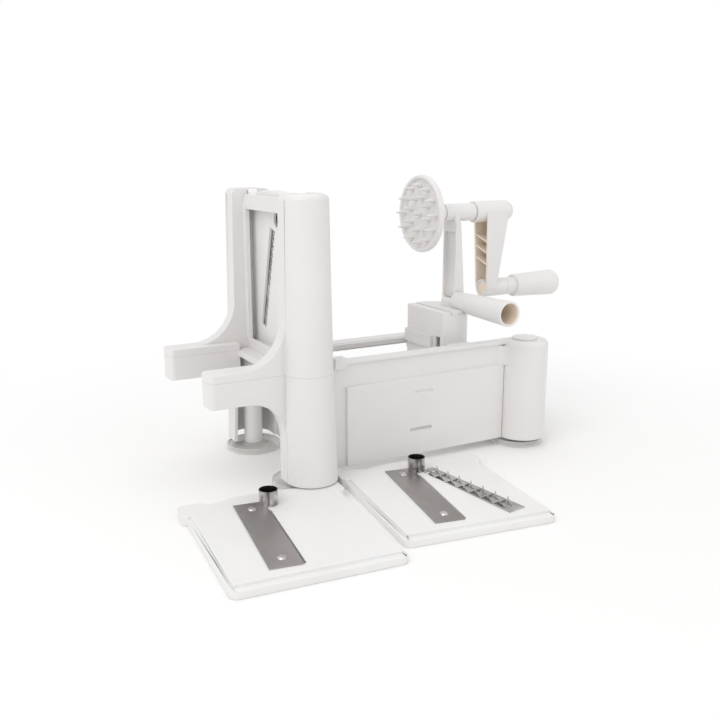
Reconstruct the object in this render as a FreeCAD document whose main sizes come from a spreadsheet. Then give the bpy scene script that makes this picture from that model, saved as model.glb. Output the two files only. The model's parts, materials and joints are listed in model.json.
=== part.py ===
import FreeCAD, Part
import Sketcher
import os
import re

# Hand cranked vegetable spiralizer, millimetres.
# X runs from the cutting tower (X = 0) back to the crank, Y = 0 is the crank's own plane
# with +Y on the far side, and Z = 0 is the table.  At the end the whole part is moved so
# that the middle of its footprint is the origin.

Vector = FreeCAD.Vector
Rotation = FreeCAD.Rotation
doc = FreeCAD.newDocument("Spiralizer")
sheet = doc.addObject("Spreadsheet::Sheet", "dims")

sizes = {
    # the footprint's middle, measured and set at the end
    "origin_x": 0,
    "origin_y": 0,
    # general
    "shell": 2.5,
    "fit": 0.3,
    "running": 0.05,
    "screw_radius": 1.5,
    "screw_head": 2.8,
    "screw_head_height": 2,
    "screw_spare": 3,
    # tower posts and legs: half round towards the outside, tapering upwards
    "tower_height": 120.9,
    "seam": 84.6,
    "rim": 8,
    "post_offset": 53,
    "post_top_radius": 15.4,
    "post_seam_radius": 17,
    "post_rim_radius": 18.7,
    "post_seam_out": 1,
    "post_rim_out": 3,
    "leg_inner_out": 2.9,
    "post_line": 0.7,
    "post_line_deep": 0.5,
    "post_rounding": 4.5,
    "gate_half": 42,
    "deck": 4.6,
    # front wall between the posts, with its window
    "front_setback": 6.5,
    "front_wall": 3.5,
    "front_drop": 3.7,
    "front_rounding": 6,
    "window_side": 3,
    "window_sill": 7.4,
    "window_bar": 11,
    # arms in front of the tower, and their curved webs
    "arm_reach": 70.6,
    "arm_width": 18.6,
    "arm_above_seam": 5.4,
    "arm_below_seam": 17.6,
    "arm_rounding": 4,
    "wing_radius": 31,
    "wing_overlap": 0.5,
    "arch_radius": 26,
    "arch_offset": 0.9,
    # screw bosses in the posts
    "boss_radius": 3.6,
    "boss_height": 22,
    "boss_outer_reach": 12.4,
    "boss_front_reach": 11.3,
    # side panels
    "band_face": 43.7,
    "raised_face": 45.7,
    "panel_bottom": 6.7,
    "ledge_drop": 17.1,
    "lip_rise": 2.2,
    "lip_width": 9,
    "raised_start": 34.4,
    "raised_end": 176.2,
    "end_block_start": 24.9,
    "end_block_rise": 2.4,
    "upper_slot_start": 92,
    "upper_slot_height": 54.5,
    "lower_slot_start": 88.5,
    "lower_slot_height": 25.3,
    "slot_end": 108,
    "slot_tall": 2.5,
    "slot_deep": 1,
    # tracks inside both panels
    "track_drop": 3.6,
    "track_thick": 4,
    "track_inner": 28,
    "track_end": 180,
    "groove_inner": 31,
    "groove_width": 2,
    "groove_deep": 2,
    # window of the far panel
    "far_window_start": 40,
    "far_window_end": 165,
    "far_window_low": 30,
    "far_window_high": 72,
    # rear posts, their bridge and caps
    "rear_place": 195.6,
    "rear_radius": 19,
    "rear_inner": 36,
    "far_post_top": 64,
    "rear_rounding": 4,
    "rear_blend": 9,
    "rear_cap_radius": 10,
    "rear_cap_rise": 1.5,
    "shelf_height": 20,
    "shelf_thick": 3,
    "shelf_inner": 32.5,
    "bridge_low": 30,
    "bridge_high": 56,
    "bridge_half": 44,
    "bridge_block": 9,
    "bridge_screw_inset": 4,
    "bridge_screw_gap": 13,
    "bridge_screw_hold": 7.5,
    "bridge_pilot": 9,
    # suction feet
    "front_foot_x": -1.2,
    "front_foot_y": 49,
    "front_foot_near": 42,
    "rear_foot_y": 40,
    "cup_radius": 21.35,
    "cup_lip": 4.5,
    "cup_rim": 2.4,
    "cup_height": 5,
    "cup_hollow": 2.2,
    "cup_neck": 10,
    "cup_floor": 3.3,
    "cup_edge": 1.2,
    "stem_radius": 7.25,
    "peg_radius": 4,
    "peg_height": 3,
    # carriage
    "carriage_front": 129.9,
    "carriage_depth": 35.1,
    "carriage_half": 26.3,
    "carriage_bottom": 62,
    "carriage_rise": 25.3,
    "carriage_round": 24.5,
    "front_strip": 7.3,
    "lid_gap": 0.8,
    "lid_thick": 3,
    "lid_seat": 2.5,
    "grip_start": 4,
    "grip_length": 20,
    "grip_reach": 34,
    "shoulder_thick": 3.2,
    "under_thick": 5.7,
    "clip_thick": 2.5,
    "clip_near": -12,
    "clip_low": 79.5,
    "clip_tall": 10.3,
    "hook_slot_near": -22.4,
    "hook_slot_width": 6.7,
    # column on the carriage
    "column_front": 22.4,
    "column_half": 8.8,
    "column_base_depth": 10.3,
    "column_top_depth": 5,
    "column_groove_width": 13.6,
    "column_groove_deep": 2.8,
    "column_groove_end": 8,
    "collar_radius": 9.4,
    "collar_tall": 7,
    "collar_back": 4.5,
    "collar_rounding": 3,
    "axle_boss_radius": 7,
    "axle_boss_front": 7.3,
    "axle_boss_length": 28.7,
    "bush_wall": 1.45,
    "column_screw_back": 5.7,
    "column_screw_side": 5,
    "column_screw_length": 15,
    # push handle
    "handle_back": 25.4,
    "handle_rise": 4.5,
    "handle_root": 9.5,
    "handle_end": 75.8,
    "handle_root_radius": 7.75,
    "handle_end_radius": 9.75,
    "handle_wall": 1.85,
    "handle_floor": 3.5,
    # crank: wheel, shaft, arm and grip
    "wheel_gap": 22.6,
    "wheel_radius": 29.8,
    "wheel_rim": 2.5,
    "wheel_thick": 4.6,
    "wheel_dish": 1.6,
    "wheel_hub_radius": 7,
    "spike_length": 12,
    "spike_radius": 1.6,
    "spike_tip": 0.25,
    "spike_root": 0.25,
    "spike_outer_ring": 22,
    "spike_inner_ring": 13,
    "shaft_radius": 4,
    "end_play": 0.5,
    "arm_hub_radius": 8.5,
    "arm_hub_length": 38.2,
    "arm_hub_rounding": 7,
    "arm_setback": 8.5,
    "arm_root_depth": 21.5,
    "arm_tip_depth": 9.8,
    "arm_tip_shift": 2.6,
    "arm_root_half": 9.9,
    "arm_tip_half": 8.1,
    "arm_wall": 2,
    "rib_thick": 1.2,
    "rib_slant": 20,
    "rib_low": 22.8,
    "rib_middle": 32.3,
    "rib_high": 41.3,
    "crank_throw": 63,
    "pin_boss_radius": 7.3,
    "pin_boss_length": 22.4,
    "pin_recess_radius": 5.5,
    "pin_recess_deep": 3.2,
    "pin_head": 2.6,
    "pin_radius": 3,
    "neck_radius": 7.1,
    "neck_length": 9.7,
    "grip_radius": 9.3,
    "grip_end_radius": 10.75,
    "grip_body": 40,
    "grip_dome": 6.2,
    "grip_shoulder": 8.6,
    "grip_shoulder_rise": 4.3,
    "grip_flat": 4.3,
    # cutting cartridges: across, up from the middle, and thick
    "plate_thick": 7.2,
    "plate_skin": 2.5,
    "plate_edge": 3.5,
    "plate_half": 53.5,
    "plate_below": 61,
    "plate_corner": 5,
    "plate_tab_top": 59.5,
    "plate_tab_low": 41,
    "plate_tab_out": 3,
    "plate_notch_outer": 40.5,
    "plate_notch_inner": 36.5,
    "plate_notch": 53.8,
    "plate_shoulder_side": 22,
    "plate_shoulder": 58.6,
    "plate_arch": 60,
    "plate_crown_side": 7.3,
    "rail_width": 2.6,
    "rail_drop": 2.6,
    "foot_step": 4.5,
    "foot_drop": 2.2,
    "ring_up": 39.5,
    "ring_radius": 6.25,
    "ring_wall": 0.7,
    "ring_tall": 9.5,
    "blade_thick": 0.8,
    "blade_width": 20.3,
    "blade_length": 93,
    "blade_side": -15.2,
    "blade_up": -2.8,
    "blade_turn": -3.3,
    "blade_slit": 3.4,
    "rivet_radius": 3.1,
    "rivet_rise": 1,
    "rivet_top": 2.2,
    "rivet_up": 36,
    "teeth_width": 14,
    "teeth_length": 90,
    "teeth_top": 1,
    "teeth_kink": 4.6,
    "teeth_kink_up": 41,
    "teeth_left": 2.2,
    "teeth_right": 3.4,
    "teeth_end": 6,
    "teeth_side": 18.4,
    "teeth_up": -5.9,
    "teeth_turn": 15.5,
    "tooth_thick": 0.6,
    "tooth_half": 2,
    "tooth_tip": 0.15,
    "coarse_pitch": 11.6,
    "coarse_tooth": 4.4,
    "fine_pitch": 5.9,
    "fine_tooth": 2.6,
    # where the two loose cartridges lie
    "ribbon_x": -46.7,
    "ribbon_y": -119.8,
    "ribbon_turn": -5.1,
    "plates_apart": 9.2,
    "coarse_y": -115.1,
    "coarse_turn": -7.6,
}

for row, (alias, number) in enumerate(sizes.items(), 1):
    sheet.set("A%d" % row, alias)
    sheet.set("B%d" % row, str(number))
    sheet.setAlias("B%d" % row, alias)
doc.recompute()

# Sizes that follow from the driving ones, as expressions.
tower_top = "(seam + tower_height)"
arm_root = "(-post_seam_radius + shell / 2)"
arm_inner = "(post_offset - arm_width)"
front_back_face = "(front_wall - front_setback)"
plate_seat = "(front_wall - front_setback + fit)"
slot_back = "(front_wall - front_setback + 2 * fit + plate_thick)"
slot_half = "(plate_half + plate_tab_out + 2 * fit)"
crank_height = "(seam + plate_below + ring_up)"
lip_top = "(seam + lip_rise)"
lip_inner = "(raised_face - lip_width)"
ledge = "(seam - ledge_drop)"
track_top = "(seam - track_drop)"
track_bottom = "(seam - track_drop - track_thick)"
panel_inside = "(band_face - shell)"
leg_back = "post_rim_radius"
bridge_edge = "(rear_radius - shell - running)"
carriage_back = "(carriage_front + carriage_depth)"
carriage_top = "(seam + carriage_rise)"
lid_low = "(seam + carriage_rise - lid_seat)"
lid_top = "(seam + carriage_rise - lid_seat + lid_thick)"
lid_front = "(carriage_front + front_strip + lid_gap)"
column_face = "(carriage_front + column_front)"
column_screw_x = "(carriage_front + column_front + column_screw_back)"
boss_start = "(carriage_front + column_front - axle_boss_front)"
bush_radius = "(shaft_radius + running + bush_wall)"
handle_x = "(carriage_front + handle_back)"
handle_height = "(seam + carriage_rise - lid_seat + lid_thick + handle_rise)"
wheel_face = "(carriage_front + column_front - axle_boss_front - wheel_gap)"
arm_start = "(carriage_front + column_front - axle_boss_front + axle_boss_length + end_play)"
arm_front = "(%s + arm_setback)" % arm_start
pin_height = "(seam + plate_below + ring_up - crank_throw)"
pin_start = "(%s + arm_setback + arm_tip_shift)" % arm_start
grip_start_x = "(%s + arm_setback + arm_tip_shift + pin_boss_length + fit)" % arm_start
front_stem_top = "(seam - deck)"


def bind(obj, name, text):
    """ties one property to the sheet"""
    words = re.sub(r"[A-Za-z_]\w*", lambda word: "dims." * (word.group() in sizes) + word.group(), str(text))
    obj.setExpression(name, words)


def value(alias):
    return float(sheet.get(alias))


def locate(obj, x, y, z, rotation=None):
    """puts an object at a bound place"""
    obj.Placement = FreeCAD.Placement(Vector(0, 0, 0), rotation or Rotation())
    bind(obj, "Placement.Base.x", x)
    bind(obj, "Placement.Base.y", y)
    bind(obj, "Placement.Base.z", z)
    return obj


along = {
    "x": Rotation(Vector(0, 1, 0), 90),
    "y": Rotation(Vector(1, 0, 0), -90),
    "-y": Rotation(Vector(1, 0, 0), 90),
    "-x": Rotation(Vector(0, 1, 0), -90),
    "z": Rotation(),
}


def block(x0, x1, y0, y1, z0, z1):
    """box between six bounds"""
    obj = doc.addObject("Part::Box", "Block")
    bind(obj, "Length", "%s - (%s)" % (x1, x0))
    bind(obj, "Width", "%s - (%s)" % (y1, y0))
    bind(obj, "Height", "%s - (%s)" % (z1, z0))
    return locate(obj, x0, y0, z0)


def rod(axis, x, y, z, length, radius):
    """cylinder from a point along an axis"""
    obj = doc.addObject("Part::Cylinder", "Rod")
    bind(obj, "Radius", radius)
    bind(obj, "Height", length)
    return locate(obj, x, y, z, along[axis])


def taper(axis, x, y, z, length, start_radius, end_radius):
    """cone from a point along an axis"""
    obj = doc.addObject("Part::Cone", "Taper")
    bind(obj, "Radius1", start_radius)
    bind(obj, "Radius2", end_radius)
    bind(obj, "Height", length)
    return locate(obj, x, y, z, along[axis])


def tapered_block(low, high, low_x, high_x, low_y, high_y):
    """block whose ends differ; low_y and high_y are (nearest, farthest) with near as positive"""
    obj = doc.addObject("Part::Wedge", "TaperedBlock")
    bind(obj, "Ymin", low)
    bind(obj, "Ymax", high)
    bind(obj, "Xmin", low_x[0])
    bind(obj, "Xmax", low_x[1])
    bind(obj, "X2min", high_x[0])
    bind(obj, "X2max", high_x[1])
    bind(obj, "Zmin", low_y[0])
    bind(obj, "Zmax", low_y[1])
    bind(obj, "Z2min", high_y[0])
    bind(obj, "Z2max", high_y[1])
    obj.Placement.Rotation = along["-y"]
    return obj


def leaning(low_end, high_end):
    """round body between two level circles given as (height, y, radius)"""
    rings = []
    for height, y, radius in (low_end, high_end):
        ring = doc.addObject("Part::Circle", "Ring")
        bind(ring, "Radius", radius)
        rings.append(locate(ring, "0", y, height))
    obj = doc.addObject("Part::Loft", "Leaning")
    obj.Sections = rings
    obj.Solid = True
    obj.Ruled = True
    return obj

def cut(base, *tools):
    for tool in tools:
        obj = doc.addObject("Part::Cut", "Cut")
        obj.Base = base
        obj.Tool = tool
        base = obj
    return base


def join(*pieces):
    obj = doc.addObject("Part::MultiFuse", "Join")
    obj.Shapes = list(pieces)
    obj.Refine = True
    return obj


def common(first, second):
    obj = doc.addObject("Part::Common", "Common")
    obj.Base = first
    obj.Tool = second
    return obj


def group(*pieces):
    obj = doc.addObject("Part::Compound", "Group")
    obj.Links = list(pieces)
    return obj


def mirrored(source):
    """the same piece on the other side of the crank's plane"""
    obj = doc.addObject("Part::Mirroring", "Mirrored")
    obj.Source = source
    obj.Normal = Vector(0, 1, 0)
    obj.Base = Vector(0, 0, 0)
    return obj


def rounded(base, radius, picked):
    """rounds the edges that pass a test"""
    doc.recompute()
    obj = doc.addObject("Part::Fillet", "Rounded")
    obj.Base = base
    obj.Edges = [(number, radius, radius) for number, edge in enumerate(base.Shape.Edges, 1) if picked(edge)]
    return obj


def upright(edge):
    return edge.BoundBox.XLength < 0.01 and edge.BoundBox.YLength < 0.01


def near(first, second):
    return abs(first - second) < 0.01


parts = []


def finished(label, obj, x="origin_x", y="origin_y", z="0", rotation=None):
    """names a sub-part and puts it in its frame"""
    obj.Label = label
    locate(obj, x, y, z, rotation)
    parts.append(obj)
    return obj


# ---- sketches and turned pieces ------------------------------------------------

def plane_of(body, role):
    return next(item for item in body.Origin.OriginFeatures if item.Role == role)


def sketch_on(body, role, height):
    """empty sketch on one of the body's own planes"""
    sketch = body.newObject("Sketcher::SketchObject", "Sketch")
    sketch.AttachmentSupport = (plane_of(body, role), [""])
    sketch.MapMode = "FlatFace"
    bind(sketch, "AttachmentOffset.Base.z", height)
    return sketch


def outline(body, role, height, corners):
    """closed polygon; every corner is held at its own pair of bound distances"""
    sketch = sketch_on(body, role, height)
    count = len(corners)
    # a rough ring of points gives the solver a start in the right order
    start = [Vector(number_of(x), number_of(y), 0) for x, y in corners]
    for index in range(count):
        sketch.addGeometry(Part.LineSegment(start[index], start[(index + 1) % count]), False)
    for index in range(count):
        sketch.addConstraint(Sketcher.Constraint("Coincident", index, 2, (index + 1) % count, 1))
    for index, (x, y) in enumerate(corners):
        for kind, text, number in (("DistanceX", x, start[index].x), ("DistanceY", y, start[index].y)):
            place = sketch.addConstraint(Sketcher.Constraint(kind, -1, 1, index, 1, number))
            bind(sketch, "Constraints[%d]" % place, text)
    return sketch


scratch = doc.addObject("App::FeaturePython", "Gauge")
scratch.addProperty("App::PropertyFloat", "Reading")


def number_of(text):
    """the present number behind an expression"""
    bind(scratch, "Reading", text)
    scratch.recompute()
    return scratch.Reading


def pad(body, sketch, length):
    obj = body.newObject("PartDesign::Pad", "Pad")
    obj.Profile = sketch
    bind(obj, "Length", length)
    return obj


def pocket(body, sketch, depth, upward=False):
    """cut down from the sketch, or up from it"""
    obj = body.newObject("PartDesign::Pocket", "Pocket")
    obj.Profile = sketch
    bind(obj, "Length", depth)
    obj.Reversed = upward
    return obj


def turned(corners):
    """body of revolution about its own Z from (radius, height) corners"""
    body = doc.addObject("PartDesign::Body", "Turned")
    sketch = outline(body, "XZ_Plane", "0", corners)
    obj = body.newObject("PartDesign::Revolution", "Revolution")
    obj.Profile = sketch
    obj.ReferenceAxis = (sketch, ["V_Axis"])
    obj.Angle = 360
    return body


# ---- base ----------------------------------------------------------------------

rim_section = ("post_rim_out", "post_rim_radius")
seam_section = ("post_seam_out", "post_seam_radius")
top_section = ("0", "post_top_radius")

def inset(section, amount):
    """a post's section with its wall taken off"""
    out, radius = section
    return out, "(%s - %s)" % (radius, amount)

def post_blank(low, high, low_section, high_section, low_inner, high_inner):
    """near post between two heights: half round outside, straight flanks inward"""
    (low_out, low_radius), (high_out, high_radius) = low_section, high_section
    body = leaning((low, "-post_offset - " + low_out, low_radius),
                   (high, "-post_offset - " + high_out, high_radius))
    flank = tapered_block(low, high, ("-" + low_radius, low_radius), ("-" + high_radius, high_radius),
                          (low_inner, "post_offset + " + low_out), (high_inner, "post_offset + " + high_out))
    wide = ("-2 * post_rim_radius", "2 * post_rim_radius")
    far = "post_offset + 2 * post_rim_radius"
    keep = tapered_block(low, high, wide, wide, (low_inner, far), (high_inner, far))
    return common(join(body, flank), keep)

def leg_blank(low_inner, high_inner):
    return post_blank("rim", "seam", rim_section, seam_section, low_inner, high_inner)

def post_lines(low, high, low_section, high_section):
    """fine upright grooves where the round outside of a post meets its flanks"""
    sections = (low_section, high_section)
    depths = [("post_offset + " + out, "post_offset + %s + post_line" % out) for out, radius in sections]
    front = [("-%s - 1" % radius, "-%s + post_line_deep" % radius) for out, radius in sections]
    back = [("%s - post_line_deep" % radius, "%s + 1" % radius) for out, radius in sections]
    return [tapered_block(low, high, *across, *depths) for across in (front, back)]

def boss_places():
    """where the screws rise into the near post"""
    return (("0", "(-post_offset - boss_outer_reach)"), ("-boss_front_reach", "(-post_offset + fit)"))


def web(z0, z1, centre_x, centre_z, radius):
    """solid corner under or over an arm, hollowed by a quarter round"""
    solid = block(centre_x, arm_root, "-post_offset", "-gate_half", z0, z1)
    hollow = rod("y", centre_x, "-post_offset - 1", centre_z, "post_offset - gate_half + 2", radius)
    return cut(solid, hollow)


def arm_box(z0, z1, inset="0"):
    """near arm between two heights, its two front corners rounded"""
    whole = block("-arm_reach + " + inset, arm_root, "-post_offset + " + inset,
                  "-%s - %s" % (arm_inner, inset), z0, z1)
    tip = number_of("-arm_reach + " + inset)
    return rounded(whole, value("arm_rounding") - number_of(inset),
                   lambda edge: upright(edge) and near(edge.CenterOfMass.x, tip))


def leg():
    """near leg: shell open inward and underneath, closed by the deck"""
    outer = leg_blank("gate_half + leg_inner_out", "gate_half")
    inner = post_blank("rim", "seam - deck", inset(rim_section, "shell"), inset(seam_section, "shell"),
                       "gate_half - 1", "gate_half - 1")
    below = block("-post_rim_radius + shell", "post_rim_radius - shell", "-post_offset - post_rim_out",
                  "-gate_half + 1", "rim - 1", "rim")
    hollow_leg = cut(outer, inner, below)
    arm = cut(arm_box("seam - arm_below_seam", "seam"),
              arm_box("seam - arm_below_seam + shell", "seam + 1", "shell"))
    arch_low = "(seam - arm_below_seam - arch_radius)"
    arch = web(arch_low, "seam - arm_below_seam + shell / 2",
               "(-post_seam_radius - arch_offset - arch_radius)", arch_low, "arch_radius")
    return cut(join(hollow_leg, arm, arch), *post_lines("rim", "seam", rim_section, seam_section))

def front_base():
    """both legs with their half arms, the deck between them, and its holes"""
    near_leg = leg()
    floor = block("-post_seam_radius", "post_seam_radius", "-gate_half - leg_inner_out",
                  "gate_half + leg_inner_out", front_stem_top, "seam")
    holes = []
    for y in ("-front_foot_near", "front_foot_y"):
        holes.append(rod("z", "front_foot_x", y, front_stem_top + " - 1", "deck + 2",
                         "peg_radius + 2 * running"))
    for x, y in boss_places():
        for side in ("", "-"):
            holes.append(rod("z", x, "%s(%s)" % (side, y), front_stem_top + " - 1", "deck + 2",
                             "screw_radius + 2 * running"))
    return finished("front_base", cut(join(near_leg, mirrored(near_leg), floor), *holes))


def tower_post():
    """near half of the tower: hollow post with a cartridge channel, arm top and wing"""
    outer = post_blank("seam", tower_top, seam_section, top_section, "gate_half", "gate_half")
    top = number_of(tower_top)
    inner_edge = -value("gate_half")
    outer = rounded(outer, value("post_rounding"),
                    lambda edge: near(edge.BoundBox.ZMin, top) and not near(edge.CenterOfMass.y, inner_edge))
    inner = post_blank("seam", tower_top + " - shell", inset(seam_section, "shell"),
                       inset(top_section, "shell"), "gate_half + shell", "gate_half + shell")
    channel = block(front_back_face + " - shell", slot_back + " + shell", "-%s - shell" % slot_half,
                    "-gate_half", "seam", tower_top)
    bosses = [rod("z", x, y, "seam", "boss_height", "boss_radius") for x, y in boss_places()]
    arm = cut(arm_box("seam", "seam + arm_above_seam"),
              arm_box("seam - 1", "seam + arm_above_seam - shell", "shell"))
    wing_high = "(seam + arm_above_seam + wing_radius)"
    wing = web("seam + arm_above_seam - shell / 2", wing_high,
               "(-post_seam_radius + wing_overlap - wing_radius)", wing_high, "wing_radius")
    post = join(cut(outer, inner), channel, arm, wing, *bosses)
    slot = block(front_back_face, slot_back, "-" + slot_half, "-gate_half + 1", "seam - 1", tower_top + " + 1")
    pilots = [rod("z", x, y, "seam - 1", "boss_height", "screw_radius + running") for x, y in boss_places()]
    lines = post_lines("seam", tower_top + " - post_rounding", seam_section, top_section)
    return cut(post, slot, *(pilots + lines))


def tower_frame():
    """both posts and the front wall with its window"""
    post = tower_post()
    wall_top = "(%s - front_drop)" % tower_top
    wall = block("-front_setback", front_back_face, "-gate_half", "gate_half", "seam", wall_top)
    height = number_of(wall_top)
    wall = rounded(wall, value("front_rounding"),
                   lambda edge: near(edge.CenterOfMass.z, height) and edge.BoundBox.YLength < 0.01)
    window = block("-front_setback - 1", front_back_face + " + 1", "-gate_half + window_side",
                   "gate_half - window_side", "seam + window_sill", wall_top + " - window_bar")
    return finished("tower_frame", join(post, mirrored(post), cut(wall, window)))


def rear_blank(inset, low, high, inner, edge_radius=None):
    """near rear post: half round outside with straight flanks"""
    radius = "(rear_radius - %s)" % inset
    body = rod("z", "rear_place", "-raised_face", low, "%s - (%s)" % (high, low), radius)
    flank = block("rear_place - " + radius, "rear_place + " + radius, "-raised_face", "-(%s)" % inner,
                  low, high)
    reach = "2 * rear_radius"
    keep = block("rear_place - " + reach, "rear_place + " + reach, "-raised_face - " + reach,
                 "-(%s)" % inner, low, high)
    blank = common(join(body, flank), keep)
    if edge_radius is None:
        return blank
    top = number_of(high)
    inner_edge = -number_of(inner)
    return rounded(blank, edge_radius,
                   lambda edge: near(edge.BoundBox.ZMin, top) and not near(edge.CenterOfMass.y, inner_edge))


def rear_post(top):
    """near rear post up to a height, with the shelf that holds its foot"""
    outer = rear_blank("0", "panel_bottom", top, "rear_inner", value("rear_rounding"))
    shelf_top = "(shelf_height + shelf_thick)"
    lower = rear_blank("shell", "panel_bottom - 1", "shelf_height", "rear_inner - 1")
    upper = rear_blank("shell", shelf_top, top + " - shell", "rear_inner - 1")
    ledge_plate = block("rear_place - rear_radius + shell / 2", "rear_place + rear_radius - shell / 2",
                        "-rear_inner - 1", "-shelf_inner", "shelf_height", shelf_top)
    return join(cut(outer, lower, upper), ledge_plate)


def rear_post_holes():
    """foot peg and bridge screw holes of the near rear post"""
    holes = [rod("z", "rear_place", "-rear_foot_y", "shelf_height - 1", "shelf_thick + 2",
                 "peg_radius + 2 * running")]
    for height in bridge_screw_heights():
        holes.append(rod("x", "rear_place + rear_radius - shell - 1", "-bridge_half + bridge_screw_inset",
                         height, "shell + 2", "screw_radius + 2 * running"))
    return holes


def bridge_screw_heights():
    middle = "(bridge_low / 2 + bridge_high / 2)"
    return (middle + " - bridge_screw_gap / 2", middle + " + bridge_screw_gap / 2")


def rear_blend():
    """concave round between the band of the near panel and the rear post"""
    reach = value("rear_radius") + value("rear_blend")
    rise = value("rear_blend") - (value("raised_face") - value("band_face"))
    centre_x = value("rear_place") - (reach ** 2 - rise ** 2) ** 0.5
    share = value("rear_blend") / reach
    touch_x = centre_x + share * (value("rear_place") - centre_x)
    touch_y = -value("band_face") - value("rear_blend") + share * rise
    solid = block(centre_x, touch_x + 1, touch_y, "-band_face", ledge, lip_top + " - rear_rounding")
    hollow = rod("z", centre_x, "-band_face - rear_blend", ledge + " - 1", "ledge_drop + lip_rise + 2",
                 "rear_blend")
    return cut(solid, hollow)


def track():
    """rail inside the near panel, with its groove"""
    rail = block(leg_back, "track_end", "-%s - shell / 2" % panel_inside, "-track_inner",
                 track_bottom, track_top)
    groove = block(leg_back + " + shell", "track_end - shell", "-groove_inner - groove_width",
                   "-groove_inner", track_top + " - groove_deep", track_top + " + 1")
    return cut(rail, groove)


def leg_clearance():
    """what the near leg takes away from the front of a panel"""
    below = block("-post_rim_radius", leg_back, "-post_offset - 2 * post_rim_radius",
                  "-track_inner", "0", "rim")
    return join(leg_blank("track_inner", "track_inner"), below)


def side_panel_near():
    """near panel: band, raised field, lip, end block, track and rear post"""
    band = cut(block("0", "rear_place - rear_radius + shell / 2", "-band_face", "-" + panel_inside,
                     "panel_bottom", "seam"), leg_clearance())
    band_top = block("end_block_start", "rear_place - rear_radius + shell / 2", "-band_face",
                     "-" + panel_inside, "seam - 1", lip_top)
    field = block("raised_start", "raised_end", "-raised_face", "-" + panel_inside, "panel_bottom", ledge)
    back = block("raised_start + shell", "raised_end - shell", "-raised_face + shell",
                 "-%s + 1" % panel_inside, "panel_bottom - 1", ledge + " - shell")
    lip = block("end_block_start", "rear_place - rear_radius + shell / 2", "-raised_face", "-" + lip_inner,
                lip_top + " - shell", lip_top)
    end_block = block("end_block_start", "raised_start", "-raised_face", "-" + lip_inner,
                      track_top, lip_top + " + end_block_rise")
    upper_slot = block("upper_slot_start", "slot_end", "-raised_face - 1", "-raised_face + slot_deep",
                       "upper_slot_height", "upper_slot_height + slot_tall")
    lower_slot = block("lower_slot_start", "slot_end", "-raised_face - 1", "-%s + 1" % panel_inside,
                       "lower_slot_height", "lower_slot_height + slot_tall")
    wall = cut(join(band, band_top, field), back)
    whole = join(wall, lip, end_block, track(), rear_post(lip_top), rear_blend())
    return finished("side_panel_near", cut(whole, upper_slot, lower_slot, *rear_post_holes()))


def side_panel_far():
    """far panel: lower plain wall with a long window, track and rear post"""
    wall = cut(block("0", "rear_place - rear_radius + shell / 2", "-raised_face", "-raised_face + shell",
                     "panel_bottom", track_top), leg_clearance())
    rail = block(leg_back, "rear_place - rear_radius + shell / 2", "-raised_face + shell / 2",
                 "-" + panel_inside, track_bottom, track_top)
    window = block("far_window_start", "far_window_end", "-raised_face - 1", "-raised_face + shell + 1",
                   "far_window_low", "far_window_high")
    whole = join(wall, rail, track(), rear_post("far_post_top"))
    return finished("side_panel_far", mirrored(cut(whole, window, *rear_post_holes())))


def rear_bridge():
    """channel between the rear posts, open underneath, with solid ends for its screws"""
    outer = block("rear_place - " + bridge_edge, "rear_place + " + bridge_edge, "-bridge_half", "bridge_half",
                  "bridge_low", "bridge_high")
    inner = block("rear_place - %s + shell" % bridge_edge, "rear_place + %s - shell" % bridge_edge,
                  "-bridge_half + bridge_block", "bridge_half - bridge_block", "bridge_low - 1",
                  "bridge_high - shell")
    pilots = []
    for side in ("-", ""):
        for height in bridge_screw_heights():
            pilots.append(rod("x", "rear_place + %s - bridge_pilot" % bridge_edge,
                              "%s(bridge_half - bridge_screw_inset)" % side, height,
                              "bridge_pilot + 1", "screw_radius + running"))
    return finished("rear_bridge", cut(outer, inner, *pilots))


def bridge_screws():
    """screws through the rear posts into the bridge"""
    screws = []
    for side in ("-", ""):
        for height in bridge_screw_heights():
            y = "%s(bridge_half - bridge_screw_inset)" % side
            start = "rear_place + %s - bridge_screw_hold" % bridge_edge
            shank = rod("x", start, y, height, "rear_place + rear_radius - (%s)" % start, "screw_radius")
            head = rod("x", "rear_place + rear_radius", y, height, "screw_head_height", "screw_head")
            screws.append(join(shank, head))
    return finished("bridge_screws", group(*screws))


def tower_screws():
    """screws from the legs up into the posts"""
    screws = []
    for x, y in boss_places():
        for side in ("", "-"):
            place = "%s(%s)" % (side, y)
            shank = rod("z", x, place, front_stem_top, "deck + boss_height - screw_spare", "screw_radius")
            head = rod("z", x, place, front_stem_top + " - screw_head_height", "screw_head_height",
                       "screw_head")
            screws.append(join(shank, head))
    return finished("tower_screws", group(*screws))


def feet():
    """suction cup and stem under every corner"""
    front = ("front_foot_x", "front_foot_y", front_stem_top)
    rear = ("rear_place", "rear_foot_y", "shelf_height")
    for end, (x, y, top) in (("front", front), ("rear", rear)):
        for side, sign in (("near", "-"), ("far", "")):
            cup = turned((("0", "cup_hollow"), ("0", "cup_height"), ("stem_radius", "cup_height"),
                          ("cup_neck", "cup_floor"), ("cup_radius - cup_edge", "cup_floor"),
                          ("cup_radius - cup_edge", "cup_lip"), ("cup_radius", "cup_lip"),
                          ("cup_radius", "0"), ("cup_radius - cup_rim", "0")))
            stem = turned((("0", "cup_height"), ("stem_radius", "cup_height"), ("stem_radius", top),
                           ("peg_radius", top), ("peg_radius", top + " + peg_height"),
                           ("0", top + " + peg_height")))
            across = "front_foot_near" if (end, side) == ("front", "near") else y
            place = ("origin_x + " + x, "origin_y + %s%s" % (sign, across))
            finished("suction_cup_%s_%s" % (end, side), cup, *place)
            finished("foot_stem_%s_%s" % (end, side), stem, *place)


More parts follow.
